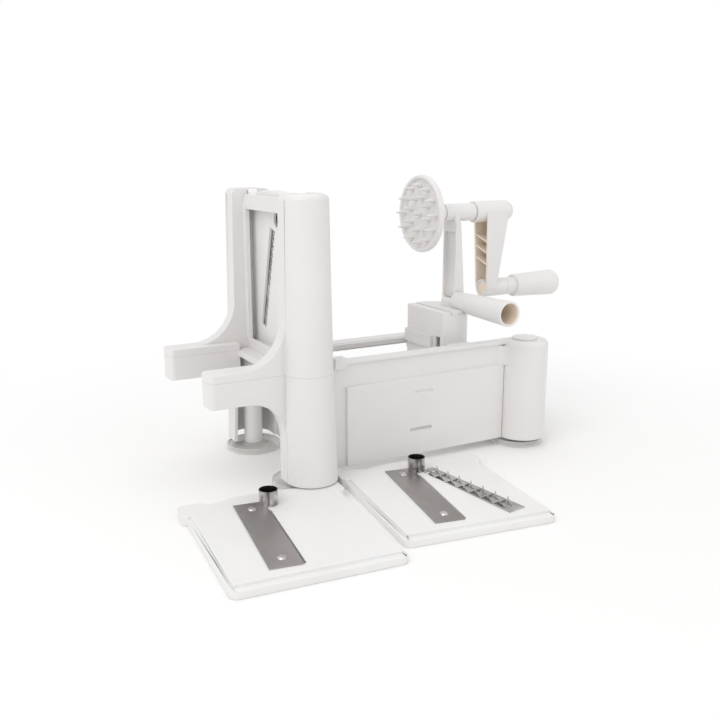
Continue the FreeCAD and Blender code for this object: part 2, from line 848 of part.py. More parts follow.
def rear_caps():
    for side, sign, height in (("near", "-", lip_top), ("far", "", "far_post_top")):
        cap = rod("z", "0", "0", "0", "rear_cap_rise", "rear_cap_radius")
        finished("rear_post_cap_" + side, cap, "origin_x + rear_place", "origin_y + %sraised_face" % sign,
                 height)


# ---- carriage ------------------------------------------------------------------

def carriage_outline(z0, z1, inset="0"):
    """block whose two rear corners are well rounded"""
    whole = block("carriage_front + " + inset, "%s - %s" % (carriage_back, inset),
                  "-carriage_half + " + inset, "carriage_half - " + inset, z0, z1)
    back = number_of("%s - %s" % (carriage_back, inset))
    return rounded(whole, value("carriage_round") - number_of(inset),
                   lambda edge: upright(edge) and near(edge.CenterOfMass.x, back))


def handle_shape(clearance):
    """outer cone of the push handle"""
    return taper("-y", handle_x, "-handle_root", handle_height, "handle_end - handle_root",
                 "handle_root_radius + " + clearance, "handle_end_radius + " + clearance)


def column_screw_places():
    return ((column_screw_x, "-column_screw_side"), (column_screw_x, "column_screw_side"))


def carriage_block():
    """hollow block that runs between the tracks, gripping them from above and below"""
    whole = cut(carriage_outline("carriage_bottom", carriage_top),
                block("carriage_front + front_strip", carriage_back + " + 1", "-carriage_half - 1",
                      "carriage_half + 1", lid_low, carriage_top + " + 1"))
    hollow = carriage_outline("carriage_bottom - 1", lid_low + " - shell", "shell")
    grips = []
    for low, high in ((track_top + " + fit", track_top + " + fit + shoulder_thick"),
                      (track_bottom + " - fit - under_thick", track_bottom + " - fit")):
        for sign in ("-", ""):
            ends = ["%scarriage_half + %s" % (sign, "shell" if sign else "0 - shell"),
                    "%sgrip_reach" % sign]
            if sign:
                ends.reverse()
            grips.append(block("carriage_front + grip_start", "carriage_front + grip_start + grip_length",
                               ends[0], ends[1], low, high))
    hook_slot = block("carriage_front - 1", "carriage_front + shell + 1", "hook_slot_near",
                      "hook_slot_near + hook_slot_width", "clip_low", "clip_low + clip_tall")
    holes = [rod("z", x, y, lid_low + " - shell - 1", "shell + 2", "screw_radius + 2 * running")
             for x, y in column_screw_places()]
    return finished("carriage_block", cut(join(cut(whole, hollow), *grips), hook_slot,
                                          handle_shape("running"), *holes))


def carriage_lid():
    """raised cover behind the front strip"""
    keep = block(lid_front, carriage_back, "-carriage_half", "carriage_half", lid_low, lid_top)
    holes = [rod("z", x, y, lid_low + " - 1", "lid_thick + 2", "screw_radius + 2 * running")
             for x, y in column_screw_places()]
    return finished("carriage_lid", cut(common(carriage_outline(lid_low, lid_top), keep),
                                        handle_shape("running"), *holes))


def carriage_clip():
    """plate on the front of the block"""
    plate = block("carriage_front - clip_thick", "carriage_front", "clip_near", "carriage_half",
                  "clip_low", "clip_low + clip_tall")
    return finished("carriage_clip", group(plate))


def support_column():
    """upright that carries the crank's bearing"""
    low = lid_top
    high = "(%s - axle_boss_radius)" % crank_height
    depth_low = (column_face, "%s + column_base_depth" % column_face)
    depth_high = (column_face, "%s + column_top_depth" % column_face)
    half = ("-column_half", "column_half")
    upright_part = tapered_block(low, high, depth_low, depth_high, half, half)
    head = block(column_face, "%s + column_top_depth" % column_face, "-axle_boss_radius", "axle_boss_radius",
                 high + " - 1", crank_height)
    boss = rod("x", boss_start, "0", crank_height, "axle_boss_length", "axle_boss_radius")
    collar = rod("z", "%s + collar_back" % column_face, "0", low, "collar_tall", "collar_radius")
    collar_top = number_of(low + " + collar_tall")
    collar = rounded(collar, value("collar_rounding"), lambda edge: near(edge.BoundBox.ZMin, collar_top))
    groove = block(column_face + " - 1", column_face + " + column_groove_deep", "-column_groove_width / 2",
                   "column_groove_width / 2", low + " + collar_tall", high + " - column_groove_end")
    bore = rod("x", boss_start + " - 1", "0", crank_height, "axle_boss_length + 2",
               bush_radius + " + running")
    pilots = [rod("z", x, y, low + " - 1", "column_screw_length", "screw_radius + running")
              for x, y in column_screw_places()]
    return finished("support_column", cut(join(upright_part, head, boss, collar), groove, bore, *pilots))


def axle_bush():
    sleeve = cut(rod("x", boss_start, "0", crank_height, "axle_boss_length", bush_radius),
                 rod("x", boss_start + " - 1", "0", crank_height, "axle_boss_length + 2",
                     "shaft_radius + running"))
    return finished("axle_bush", sleeve)


def column_screws():
    """screws from inside the block up into the column"""
    screws = []
    base = lid_low + " - shell"
    for x, y in column_screw_places():
        shank = rod("z", x, y, base, "shell + lid_seat + column_screw_length - screw_spare", "screw_radius")
        head = rod("z", x, y, base + " - screw_head_height", "screw_head_height", "screw_head")
        screws.append(join(shank, head))
    return finished("column_screws", group(*screws))


def push_handle():
    """tapered tube, open at its outer end"""
    bore = taper("-y", handle_x, "-handle_root - handle_floor", handle_height,
                 "handle_end - handle_root - handle_floor + 1", "handle_root_radius - handle_wall",
                 "handle_end_radius - handle_wall")
    return finished("push_handle", cut(handle_shape("0"), bore))


# ---- crank ---------------------------------------------------------------------

def spike_ring(count, radius):
    """evenly spaced spikes round the wheel, pointing at the tower"""
    spikes = []
    for index in range(count):
        turn = "%d * 360 deg / %d" % (index, count)
        spikes.append(taper("-x", wheel_face + " + wheel_dish + spike_root", "%s * cos(%s)" % (radius, turn),
                            "%s + %s * sin(%s)" % (crank_height, radius, turn), "spike_length + spike_root",
                            "spike_radius", "spike_tip"))
    return spikes


def pusher_wheel():
    """dished wheel with spikes that hold the vegetable, and its hub"""
    x = wheel_face
    wheel = rod("x", x, "0", crank_height, "wheel_thick", "wheel_radius")
    dish = rod("x", x + " - 1", "0", crank_height, "wheel_dish + 1", "wheel_radius - wheel_rim")
    hub = rod("x", x + " + wheel_thick / 2", "0", crank_height, "wheel_gap - wheel_thick / 2 - end_play",
              "wheel_hub_radius")
    bore = rod("x", x + " + wheel_thick", "0", crank_height, "wheel_gap", "shaft_radius + running")
    spikes = spike_ring(12, "spike_outer_ring") + spike_ring(8, "spike_inner_ring") + spike_ring(1, "0")
    return finished("pusher_wheel", cut(join(cut(wheel, dish), hub, *spikes), bore))


def crank_shaft():
    shaft = rod("x", wheel_face + " + wheel_thick", "0", crank_height,
                "%s + arm_hub_length - arm_hub_radius - (%s + wheel_thick)" % (arm_start, wheel_face),
                "shaft_radius")
    return finished("crank_shaft", group(shaft))


def crank_arm():
    """channel arm, open towards the column, with shaft hub, pin boss and cross ribs"""
    low_x = (pin_start, pin_start + " + arm_tip_depth")
    high_x = (arm_front, arm_front + " + arm_root_depth")
    low_y = ("-arm_tip_half", "arm_tip_half")
    high_y = ("-arm_root_half", "arm_root_half")
    outer = tapered_block(pin_height, crank_height, low_x, high_x, low_y, high_y)
    inner = tapered_block(pin_height, crank_height,
                          (pin_start + " - shell", pin_start + " + arm_tip_depth - arm_wall"),
                          (arm_front + " - shell", arm_front + " + arm_root_depth - arm_wall"),
                          ("-arm_tip_half + arm_wall", "arm_tip_half - arm_wall"),
                          ("-arm_root_half + arm_wall", "arm_root_half - arm_wall"))
    ribs = []
    for height in ("rib_low", "rib_middle", "rib_high"):
        slab = block(arm_front + " - shell", arm_front + " + arm_root_depth", "-2 * arm_root_half",
                     "2 * arm_root_half", "-rib_thick / 2", "rib_thick / 2")
        slope = locate(group(slab), "0", "0", "%s + %s" % (pin_height, height),
                       Rotation(Vector(1, 0, 0), value("rib_slant")))
        ribs.append(common(outer, slope))
    hub = rod("x", arm_start, "0", crank_height, "arm_hub_length", "arm_hub_radius")
    end = number_of(arm_start + " + arm_hub_length")
    hub = rounded(hub, value("arm_hub_rounding"), lambda edge: near(edge.BoundBox.XMin, end))
    boss = rod("x", pin_start, "0", pin_height, "pin_boss_length", "pin_boss_radius")
    bore = rod("x", arm_start + " - 1", "0", crank_height, "arm_hub_length - arm_hub_radius + 1",
               "shaft_radius + running")
    recess = rod("x", pin_start + " - 1", "0", pin_height, "pin_recess_deep + 1", "pin_recess_radius")
    pin_hole = rod("x", pin_start + " - 1", "0", pin_height, "pin_boss_length + 2", "pin_radius + running")
    return finished("crank_arm", cut(join(cut(outer, inner), hub, boss, *ribs), bore, recess, pin_hole))


def grip_pin():
    """headed pin through the arm's boss into the grip"""
    start = pin_start + " + pin_recess_deep"
    shank = rod("x", start, "0", pin_height, "pin_boss_length - pin_recess_deep + neck_length + grip_body",
                "pin_radius")
    head = rod("x", start + " - pin_head", "0", pin_height, "pin_head", "pin_recess_radius - running")
    return finished("grip_pin", join(shank, head))


def crank_grip():
    """turned grip with a narrow neck and a domed end"""
    body_end = "(neck_length + grip_body)"
    grip = turned((("pin_radius + running", "0"), ("neck_radius", "0"), ("neck_radius", "neck_length"),
                   ("grip_radius", "neck_length"), ("grip_end_radius", body_end),
                   ("grip_shoulder", body_end + " + grip_shoulder_rise"),
                   ("grip_flat", body_end + " + grip_dome"),
                   ("0", body_end + " + grip_dome"), ("0", body_end + " + fit"),
                   ("pin_radius + running", body_end + " + fit")))
    return finished("crank_grip", grip, "origin_x + " + grip_start_x, "origin_y", pin_height, along["x"])


# ---- cutting cartridges: own frame with X across, Y up from the middle, Z thick ----

seated = Rotation(Vector(1, 1, 1), 120)


def cartridge_frames():
    """place and turn of the three cartridges: two lie beside the machine, one stands in it"""
    return {
        "ribbon": ("origin_x + ribbon_x", "origin_y + ribbon_y", "0",
                   Rotation(Vector(0, 0, 1), value("ribbon_turn"))),
        "coarse": ("origin_x + ribbon_x + 2 * plate_half + plates_apart", "origin_y + coarse_y", "0",
                   Rotation(Vector(0, 0, 1), value("coarse_turn"))),
        "fine": ("origin_x + " + plate_seat, "origin_y", "seam + plate_below", seated),
    }


def in_strip(shape, side, up, turn):
    """moves a piece made about a strip's middle to where the strip lies on the plate"""
    obj = group(shape)
    obj.Placement = FreeCAD.Placement(Vector(0, 0, 0), Rotation(Vector(0, 0, 1), value(turn)))
    bind(obj, "Placement.Base.x", side)
    bind(obj, "Placement.Base.y", up)
    return obj


def cartridge_plate(name, frame, with_teeth):
    """moulded plate: arched top with two tabs, side rails, stepped foot and hollow back"""
    body = doc.addObject("PartDesign::Body", "Plate")
    corner = [("plate_half - plate_corner * (1 - cos(%d deg))" % angle,
               "-plate_below + plate_corner * (1 - sin(%d deg))" % angle) for angle in (90, 60, 30, 0)]
    right = (*corner, ("plate_half", "plate_tab_low"),
             ("plate_half + plate_tab_out", "plate_tab_low + plate_tab_out"),
             ("plate_half + plate_tab_out", "plate_tab_top"), ("plate_notch_outer", "plate_tab_top"),
             ("plate_notch_inner", "plate_notch"), ("plate_shoulder_side", "plate_shoulder"),
             ("plate_crown_side", "plate_arch"))
    left = [("-(%s)" % x, y) for x, y in reversed(right)]
    pad(body, outline(body, "XY_Plane", "0", list(right) + left), "plate_thick")
    back = (("plate_half - rail_width - plate_edge", "-plate_below + plate_edge"),
            ("plate_half - rail_width - plate_edge", "plate_notch - 2 * plate_edge"),
            ("-plate_half + rail_width + plate_edge", "plate_notch - 2 * plate_edge"),
            ("-plate_half + rail_width + plate_edge", "-plate_below + plate_edge"))
    pocket(body, outline(body, "XY_Plane", "0", back), "plate_thick - plate_skin", True)
    for sign in ("", "-"):
        inside = sign + "(plate_half - rail_width)"
        outside = sign + "(plate_half + 1)"
        rail = ((inside, "-plate_below - 1"), (outside, "-plate_below - 1"),
                (outside, "plate_tab_low"), (inside, "plate_tab_low"))
        pocket(body, outline(body, "XY_Plane", "plate_thick", rail), "rail_drop")
    foot = (("-plate_half - 1", "-plate_below - 1"), ("plate_half + 1", "-plate_below - 1"),
            ("plate_half + 1", "-plate_below + foot_step"), ("-plate_half - 1", "-plate_below + foot_step"))
    pocket(body, outline(body, "XY_Plane", "plate_thick", foot), "foot_drop")
    slit = block("blade_width / 2 - blade_slit / 2", "blade_width / 2 + blade_slit / 2",
                 "-blade_length / 2 + 2", "blade_length / 2 - 2 * ring_radius", "-1", "plate_thick + 1")
    tools = [in_strip(slit, "blade_side", "blade_up", "blade_turn"),
             rod("z", "0", "ring_up", "-1", "plate_thick + 2", "ring_radius - ring_wall")]
    for up in ("rivet_up", "-rivet_up"):
        hole = rod("z", "0", up, "-1", "plate_thick + 2", "screw_radius + running")
        tools.append(in_strip(hole, "blade_side", "blade_up", "blade_turn"))
    if with_teeth:
        gap = block("-teeth_left - tooth_half", "teeth_right + tooth_half", "-teeth_length / 2 + teeth_end",
                    "teeth_length / 2 - teeth_end", "-1", "plate_thick + 1")
        tools.append(in_strip(gap, "teeth_side", "teeth_up", "teeth_turn"))
    return finished(name + "_plate", cut(body, *tools), *frame)


def cartridge_blade(name, frame):
    """flat blade whose upper corner is rolled into the coring ring"""
    flat = block("-blade_width / 2", "blade_width / 2", "-blade_length / 2", "blade_length / 2",
                 "plate_thick", "plate_thick + blade_thick")
    ring = rod("z", "0", "ring_up", "plate_thick", "ring_tall + blade_thick", "ring_radius")
    tools = [rod("z", "0", "ring_up", "plate_thick - 1", "ring_tall + blade_thick + 2",
                 "ring_radius - ring_wall")]
    for up in ("rivet_up", "-rivet_up"):
        hole = rod("z", "0", up, "plate_thick - 1", "blade_thick + 2", "screw_radius + running")
        tools.append(in_strip(hole, "blade_side", "blade_up", "blade_turn"))
    strip = in_strip(flat, "blade_side", "blade_up", "blade_turn")
    return finished(name + "_blade", cut(join(strip, ring), *tools), *frame)


def cartridge_rivets(name, frame):
    """the two rivets of the flat blade"""
    rivets = []
    for up in ("rivet_up", "-rivet_up"):
        shank = rod("z", "0", up, "plate_thick - plate_skin", "plate_skin + blade_thick", "screw_radius")
        head = taper("z", "0", up, "plate_thick + blade_thick", "rivet_rise", "rivet_radius",
                     "rivet_top")
        rivets.append(join(shank, head))
    placed = in_strip(group(*rivets), "blade_side", "blade_up", "blade_turn")
    return finished(name + "_rivets", group(placed), *frame)


def cartridge_teeth(name, frame, pitch, tall):
    """strip with two columns of upright triangular teeth, each beside its own opening"""
    edge = (("teeth_width / 2", "-teeth_length / 2"), ("teeth_width / 2", "teeth_length / 2"),
            ("teeth_top", "teeth_length / 2"), ("-teeth_kink", "teeth_kink_up"),
            ("-teeth_width / 2", "-teeth_length / 2"))
    strip = doc.addObject("PartDesign::Body", "Strip")
    pad(strip, outline(strip, "XY_Plane", "plate_thick", edge), "tooth_thick")
    rows = int(value("teeth_length") / value(pitch))
    teeth = []
    openings = []
    for row in range(rows):
        up = "((%d - %g) * %s)" % (row, (rows - 1) / 2, pitch)
        inside = number_of("%s + %s / 2" % (up, pitch)) < value("teeth_kink_up")
        for side in ("-teeth_left", "teeth_right") if inside else ("teeth_right",):
            tooth = doc.addObject("Part::Wedge", "Tooth")
            for name_of, text in (("Xmin", "-tooth_half"), ("Xmax", "tooth_half"),
                                  ("X2min", "-tooth_tip"), ("X2max", "tooth_tip"),
                                  ("Ymin", "0"), ("Ymax", tall), ("Zmin", "0"), ("Zmax", "tooth_thick"),
                                  ("Z2min", "0"), ("Z2max", "tooth_thick")):
                bind(tooth, name_of, text)
            teeth.append(locate(tooth, side, up, "plate_thick + tooth_thick", along["-y"]))
            openings.append(block(side + " - tooth_half", side + " + tooth_half",
                                  "%s + tooth_thick" % up, "%s + %s / 2" % (up, pitch),
                                  "plate_thick - 1", "plate_thick + tooth_thick + 1"))
    punched = cut(strip, group(*openings))
    placed = in_strip(join(punched, *teeth), "teeth_side", "teeth_up", "teeth_turn")
    return finished(name + "_teeth", group(placed), *frame)


def cartridges():
    for name, frame in cartridge_frames().items():
        cartridge_plate(name, frame, name != "ribbon")
        cartridge_blade(name, frame)
        cartridge_rivets(name, frame)
    frames = cartridge_frames()
    cartridge_teeth("coarse", frames["coarse"], "coarse_pitch", "coarse_tooth")
    cartridge_teeth("fine", frames["fine"], "fine_pitch", "fine_tooth")


# ---- whole part ----------------------------------------------------------------

def check_parts():
    """stops where anything failed or is not a sound solid"""
    for obj in doc.Objects:
        if "Invalid" in obj.State or "Error" in obj.State:
            raise RuntimeError("%s failed: %s" % (obj.Label, obj.State))
    for obj in parts:
        if obj.Shape.isNull() or not obj.Shape.isValid() or not obj.Shape.Solids:
            raise RuntimeError("%s has no sound shape" % obj.Label)


def footprint():
    """box round all sub-parts"""
    box = FreeCAD.BoundBox()
    for obj in parts:
        box.add(obj.Shape.optimalBoundingBox(False, False))
    return box


for make in (front_base, tower_frame, side_panel_near, side_panel_far, rear_bridge, bridge_screws,
             tower_screws, feet, rear_caps, carriage_block, carriage_lid, carriage_clip, support_column,
             axle_bush, column_screws, push_handle, pusher_wheel, crank_shaft, crank_arm, grip_pin,
             crank_grip, cartridges):
    make()
doc.recompute()
check_parts()

# the middle of the footprint becomes the origin
box = footprint()
for alias, middle in (("origin_x", -box.Center.x), ("origin_y", -box.Center.y)):
    sheet.set(sheet.getCellFromAlias(alias), str(middle))
doc.recompute()
check_parts()
box = footprint()
print("origin", value("origin_x"), value("origin_y"), "box", box)
if abs(box.Center.x) > 0.01 or abs(box.Center.y) > 0.01:
    raise RuntimeError("the footprint's middle is not at the origin")

os.makedirs("parts", exist_ok=True)
for obj in parts:
    obj.Shape.exportStep("parts/%s.step" % obj.Label)
print(len(parts), "sub-parts")
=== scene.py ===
import json
import math

import bpy
from mathutils import Matrix, Vector

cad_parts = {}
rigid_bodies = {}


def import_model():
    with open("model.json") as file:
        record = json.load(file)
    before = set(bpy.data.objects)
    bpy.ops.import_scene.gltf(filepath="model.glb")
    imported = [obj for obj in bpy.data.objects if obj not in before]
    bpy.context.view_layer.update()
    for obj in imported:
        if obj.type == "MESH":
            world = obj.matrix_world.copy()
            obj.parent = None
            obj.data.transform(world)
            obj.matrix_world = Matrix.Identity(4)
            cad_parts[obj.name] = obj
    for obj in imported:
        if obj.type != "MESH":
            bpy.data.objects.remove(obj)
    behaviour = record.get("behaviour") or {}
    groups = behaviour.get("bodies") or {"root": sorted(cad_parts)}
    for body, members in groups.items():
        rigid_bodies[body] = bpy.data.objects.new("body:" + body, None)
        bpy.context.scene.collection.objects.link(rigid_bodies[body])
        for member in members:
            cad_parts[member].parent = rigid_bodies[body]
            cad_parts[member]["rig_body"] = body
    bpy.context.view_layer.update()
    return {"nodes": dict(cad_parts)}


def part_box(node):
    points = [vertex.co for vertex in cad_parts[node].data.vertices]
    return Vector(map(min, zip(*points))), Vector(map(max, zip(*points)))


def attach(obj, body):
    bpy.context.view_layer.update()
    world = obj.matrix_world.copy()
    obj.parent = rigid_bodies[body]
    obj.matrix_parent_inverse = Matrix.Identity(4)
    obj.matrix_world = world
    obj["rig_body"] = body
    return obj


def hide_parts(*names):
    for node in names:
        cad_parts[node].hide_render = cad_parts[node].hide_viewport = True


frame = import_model()
mm = 0.001
# distances in millimetres under which points are merged, and angles in degrees
fine = {"merge": 0.01, "packedMerge": 0.005, "flatAngle": 0.1, "shadeAngle": 32, "roundShadeAngle": 35}


def nothingSelected():
    if bpy.context.mode != "OBJECT":
        bpy.ops.object.mode_set(mode="OBJECT")
    bpy.ops.object.select_all(action="DESELECT")


def only(piece):
    nothingSelected()
    piece.select_set(True)
    bpy.context.view_layer.objects.active = piece
    return piece


def named(name):
    piece = bpy.context.view_layer.objects.active
    piece.name = name
    piece.data.name = name
    return piece


def unpicked(piece, kind):
    # nothing of the piece is selected, and its faces, edges or vertices are picked next
    only(piece)
    bpy.ops.object.mode_set(mode="EDIT")
    bpy.ops.mesh.select_mode(type=kind)
    bpy.ops.mesh.select_all(action="DESELECT")
    bpy.ops.object.mode_set(mode="OBJECT")


def pickFaces(piece, test):
    # leaves the piece in edit mode with only the faces that pass the test selected
    unpicked(piece, "FACE")
    for face in piece.data.polygons:
        face.select = test(face)
    bpy.ops.object.mode_set(mode="EDIT")


def pickVerts(piece, test):
    unpicked(piece, "VERT")
    for vert in piece.data.vertices:
        vert.select = test(vert.co)
    bpy.ops.object.mode_set(mode="EDIT")


def pickEdges(piece, test):
    # the test gets both ends of an edge
    unpicked(piece, "EDGE")
    spots = [vert.co for vert in piece.data.vertices]
    for edge in piece.data.edges:
        edge.select = test(spots[edge.vertices[0]], spots[edge.vertices[1]])
    bpy.ops.object.mode_set(mode="EDIT")


def outward(piece):
    only(piece)
    bpy.ops.object.mode_set(mode="EDIT")
    bpy.ops.mesh.select_all(action="SELECT")
    bpy.ops.mesh.remove_doubles(threshold=fine["merge"] * mm)
    bpy.ops.mesh.normals_make_consistent(inside=False)
    bpy.ops.object.mode_set(mode="OBJECT")


def applied(piece):
    only(piece)
    for modifier in list(piece.modifiers):
        bpy.ops.object.modifier_apply(modifier=modifier.name)


def smoothed(piece, degrees=fine["shadeAngle"]):
    # round faces shade evenly, and large flat faces keep their own normal
    only(piece)
    bpy.ops.object.shade_smooth_by_angle(angle=math.radians(degrees))
    even = piece.modifiers.new("even", "WEIGHTED_NORMAL")
    even.keep_sharp = True
    applied(piece)


def settled(piece):
    # the object's own place goes into its mesh
    only(piece)
    bpy.ops.object.transform_apply(location=True, rotation=True, scale=True)


def rounded(piece, width, segments=2, degrees=38):
    bevel = piece.modifiers.new("edges", "BEVEL")
    bevel.width = width
    bevel.segments = segments
    bevel.limit_method = "ANGLE"
    bevel.angle_limit = math.radians(degrees)
    bevel.use_clamp_overlap = False
    bevel.harden_normals = False
    applied(piece)


def painted(piece, material):
    piece.data.materials.clear()
    piece.data.materials.append(material)
    for face in piece.data.polygons:
        face.material_index = 0


def tinted(piece, material, test):
    # a second material on the faces that pass the test
    piece.data.materials.append(material)
    index = len(piece.data.materials) - 1
    for face in piece.data.polygons:
        if test(face):
            face.material_index = index


def joined(first, *others):
    only(first)
    for other in others:
        other.select_set(True)
    bpy.ops.object.join()
    return first


def copied(piece, name):
    twin = piece.copy()
    twin.data = piece.data.copy()
    twin.name = name
    bpy.context.scene.collection.objects.link(twin)
    return twin


def fitted(piece, body, slot, *nodes):
    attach(piece, body)
    if nodes:
        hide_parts(*nodes)


def socket(group, name, way, kind, value=None):
    item = group.interface.new_socket(name=name, in_out=way, socket_type=kind)
    if value is not None:
        item.default_value = value
    return item


def surfaceGroup(name, inputs):
    # an empty group with its inputs and the three outputs that every surface has
    group = bpy.data.node_groups.new(name, "ShaderNodeTree")
    for label, kind, value in inputs:
        socket(group, label, "INPUT", kind, value)
    socket(group, "Color", "OUTPUT", "NodeSocketColor")
    socket(group, "Roughness", "OUTPUT", "NodeSocketFloat")
    socket(group, "Height", "OUTPUT", "NodeSocketFloat")
    start = group.nodes.new("NodeGroupInput")
    end = group.nodes.new("NodeGroupOutput")
    place = group.nodes.new("ShaderNodeTexCoord")
    return group, start.outputs, end.inputs, place.outputs["Object"]


def noise(group, place, scale, detail=2):
    # the scale is a number or another node's output
    texture = group.nodes.new("ShaderNodeTexNoise")
    texture.inputs["Detail"].default_value = detail
    group.links.new(place, texture.inputs["Vector"])
    if isinstance(scale, (int, float)):
        texture.inputs["Scale"].default_value = scale
    else:
        group.links.new(scale, texture.inputs["Scale"])
    return texture.outputs["Fac"]


def weighted(group, value, weight, base):
    # the value times its weight, added to the base
    total = group.nodes.new("ShaderNodeMath")
    total.operation = "MULTIPLY_ADD"
    total.inputs[1].default_value = weight
    group.links.new(value, total.inputs[0])
    group.links.new(base, total.inputs[2])
    return total.outputs["Value"]


def blended(group, value, low, high, first, second):
    # from the first colour to the second as the value goes from low to high
    spread = group.nodes.new("ShaderNodeMapRange")
    spread.inputs["From Min"].default_value = low
    spread.inputs["From Max"].default_value = high
    group.links.new(value, spread.inputs["Value"])
    tint = group.nodes.new("ShaderNodeMix")
    tint.data_type = "RGBA"
    group.links.new(spread.outputs["Result"], tint.inputs["Factor"])
    group.links.new(first, tint.inputs["A"])
    group.links.new(second, tint.inputs["B"])
    return tint.outputs["Result"]


mouldedLook = {
    "cloudDetail": 3, "cloudLow": 0.35, "cloudHigh": 0.7, "rubScale": 160, "rubDetail": 4, "rubWeight": 0.12,
    "grainScale": 1400, "grainWeight": 0.25, "waveScale": 45,
}


def mouldedSurfaceGroup():
    # soft cloudy tone, a little rub in the gloss, and the fine grain of a polished mould
    group, given, result, place = surfaceGroup("mouldedSurface", (
        ("Tone", "NodeSocketColor", (0.8, 0.8, 0.8, 1)), ("Shade", "NodeSocketColor", (0.7, 0.7, 0.7, 1)),
        ("Gloss", "NodeSocketFloat", 0.3), ("Cloud Size", "NodeSocketFloat", 18)))
    cloud = noise(group, place, given["Cloud Size"], mouldedLook["cloudDetail"])
    tint = blended(group, cloud, mouldedLook["cloudLow"], mouldedLook["cloudHigh"],
                   given["Tone"], given["Shade"])
    rub = noise(group, place, mouldedLook["rubScale"], mouldedLook["rubDetail"])
    grain = noise(group, place, mouldedLook["grainScale"])
    wave = noise(group, place, mouldedLook["waveScale"])
    group.links.new(tint, result["Color"])
    group.links.new(weighted(group, rub, mouldedLook["rubWeight"], given["Gloss"]), result["Roughness"])
    group.links.new(weighted(group, grain, mouldedLook["grainWeight"], wave), result["Height"])
    return group


brushedLook = {
    "stretch": (2200, 60, 2200), "scratchDetail": 3, "fieldDetail": 1, "scratchWeight": 0.45,
    "low": 0.5, "high": 0.95, "glossWeight": 0.2,
}


def brushedSurfaceGroup():
    # long fine scratches along one direction, with slow light and dark fields; on the polished steel these
    # fields are painted reflection bands
    group, given, result, place = surfaceGroup("brushedSurface", (
        ("Light", "NodeSocketColor", (0.6, 0.6, 0.6, 1)), ("Dark", "NodeSocketColor", (0.4, 0.4, 0.4, 1)),
        ("Field Size", "NodeSocketFloat", 20), ("Gloss", "NodeSocketFloat", 0.25)))
    stretch = group.nodes.new("ShaderNodeMapping")
    stretch.inputs["Scale"].default_value = brushedLook["stretch"]
    group.links.new(place, stretch.inputs["Vector"])
    scratch = noise(group, stretch.outputs["Vector"], 1, brushedLook["scratchDetail"])
    field = noise(group, place, given["Field Size"], brushedLook["fieldDetail"])
    both = weighted(group, scratch, brushedLook["scratchWeight"], field)
    tint = blended(group, both, brushedLook["low"], brushedLook["high"], given["Dark"], given["Light"])
    group.links.new(tint, result["Color"])
    group.links.new(weighted(group, scratch, brushedLook["glossWeight"], given["Gloss"]), result["Roughness"])
    group.links.new(scratch, result["Height"])
    return group


mouldedSurface = mouldedSurfaceGroup()
brushedSurface = brushedSurfaceGroup()
reliefDepth = 0.1 * mm


def surfaced(name, group, values, bump):
    # a Principled material whose colour, roughness and bump come from one of the groups
    material = bpy.data.materials.new(name)
    material.use_nodes = True
    tree = material.node_tree
    shader = tree.nodes["Principled BSDF"]
    surface = tree.nodes.new("ShaderNodeGroup")
    surface.node_tree = group
    for key, value in values.items():
        surface.inputs[key].default_value = value
    relief = tree.nodes.new("ShaderNodeBump")
    relief.inputs["Strength"].default_value = bump
    relief.inputs["Distance"].default_value = reliefDepth
    tree.links.new(surface.outputs["Color"], shader.inputs["Base Color"])
    tree.links.new(surface.outputs["Roughness"], shader.inputs["Roughness"])
    tree.links.new(surface.outputs["Height"], relief.inputs["Height"])
    tree.links.new(relief.outputs["Normal"], shader.inputs["Normal"])
    return material, shader


plastics = {
    # tone, shade, gloss, size of the clouds, bump
    "whitePlastic": ((0.80, 0.785, 0.775, 1), (0.77, 0.75, 0.74, 1), 0.26, 14, 0.12),
    "platePlastic": ((0.84, 0.835, 0.83, 1), (0.81, 0.80, 0.795, 1), 0.3, 20, 0.1),
    # ivory is the bearings' own colour, and also painted warm shade inside the crank channel and the handle
    # bore
    "ivoryPlasticAndPaintedShade": ((0.90, 0.80, 0.68, 1), (0.86, 0.75, 0.62, 1), 0.4, 40, 0.1),
    "clearPlastic": ((0.82, 0.80, 0.78, 1), (0.78, 0.76, 0.74, 1), 0.12, 30, 0.05),
}
plasticExtras = {
    "whitePlastic": {"Specular IOR Level": 0.5, "Coat Weight": 0.05},
    "clearPlastic": {"Alpha": 0.55},
}
metals = {
    # light tone, dark tone, size of the fields, gloss, bump
    "bladeSteel": ((0.50, 0.48, 0.475, 1), (0.33, 0.31, 0.305, 1), 14, 0.22, 0.08),
    # the polished steel's strong light and dark fields are painted reflection bands
    "polishedSteelPaintedReflection": ((0.72, 0.70, 0.68, 1), (0.16, 0.15, 0.145, 1), 130, 0.06, 0.03),
    "rivetSteel": ((0.78, 0.77, 0.75, 1), (0.5, 0.49, 0.48, 1), 300, 0.2, 0.1),
    # painted shade: near-black steel for the inside of the coring ring's bore
    "paintedBoreShadeSteel": ((0.10, 0.09, 0.085, 1), (0.02, 0.018, 0.017, 1), 90, 0.35, 0.05),
    "pointSteel": ((0.62, 0.60, 0.585, 1), (0.30, 0.285, 0.28, 1), 60, 0.14, 0.06),
}


def plastic(name):
    tone, shade, gloss, cloud, bump = plastics[name]
    values = {"Tone": tone, "Shade": shade, "Gloss": gloss, "Cloud Size": cloud}
    material, shader = surfaced(name, mouldedSurface, values, bump)
    for key, value in plasticExtras.get(name, {}).items():
        shader.inputs[key].default_value = value
    return material


def metal(name):
    light, dark, field, gloss, bump = metals[name]
    values = {"Light": light, "Dark": dark, "Field Size": field, "Gloss": gloss}
    material, shader = surfaced(name, brushedSurface, values, bump)
    shader.inputs["Metallic"].default_value = 1
    return material


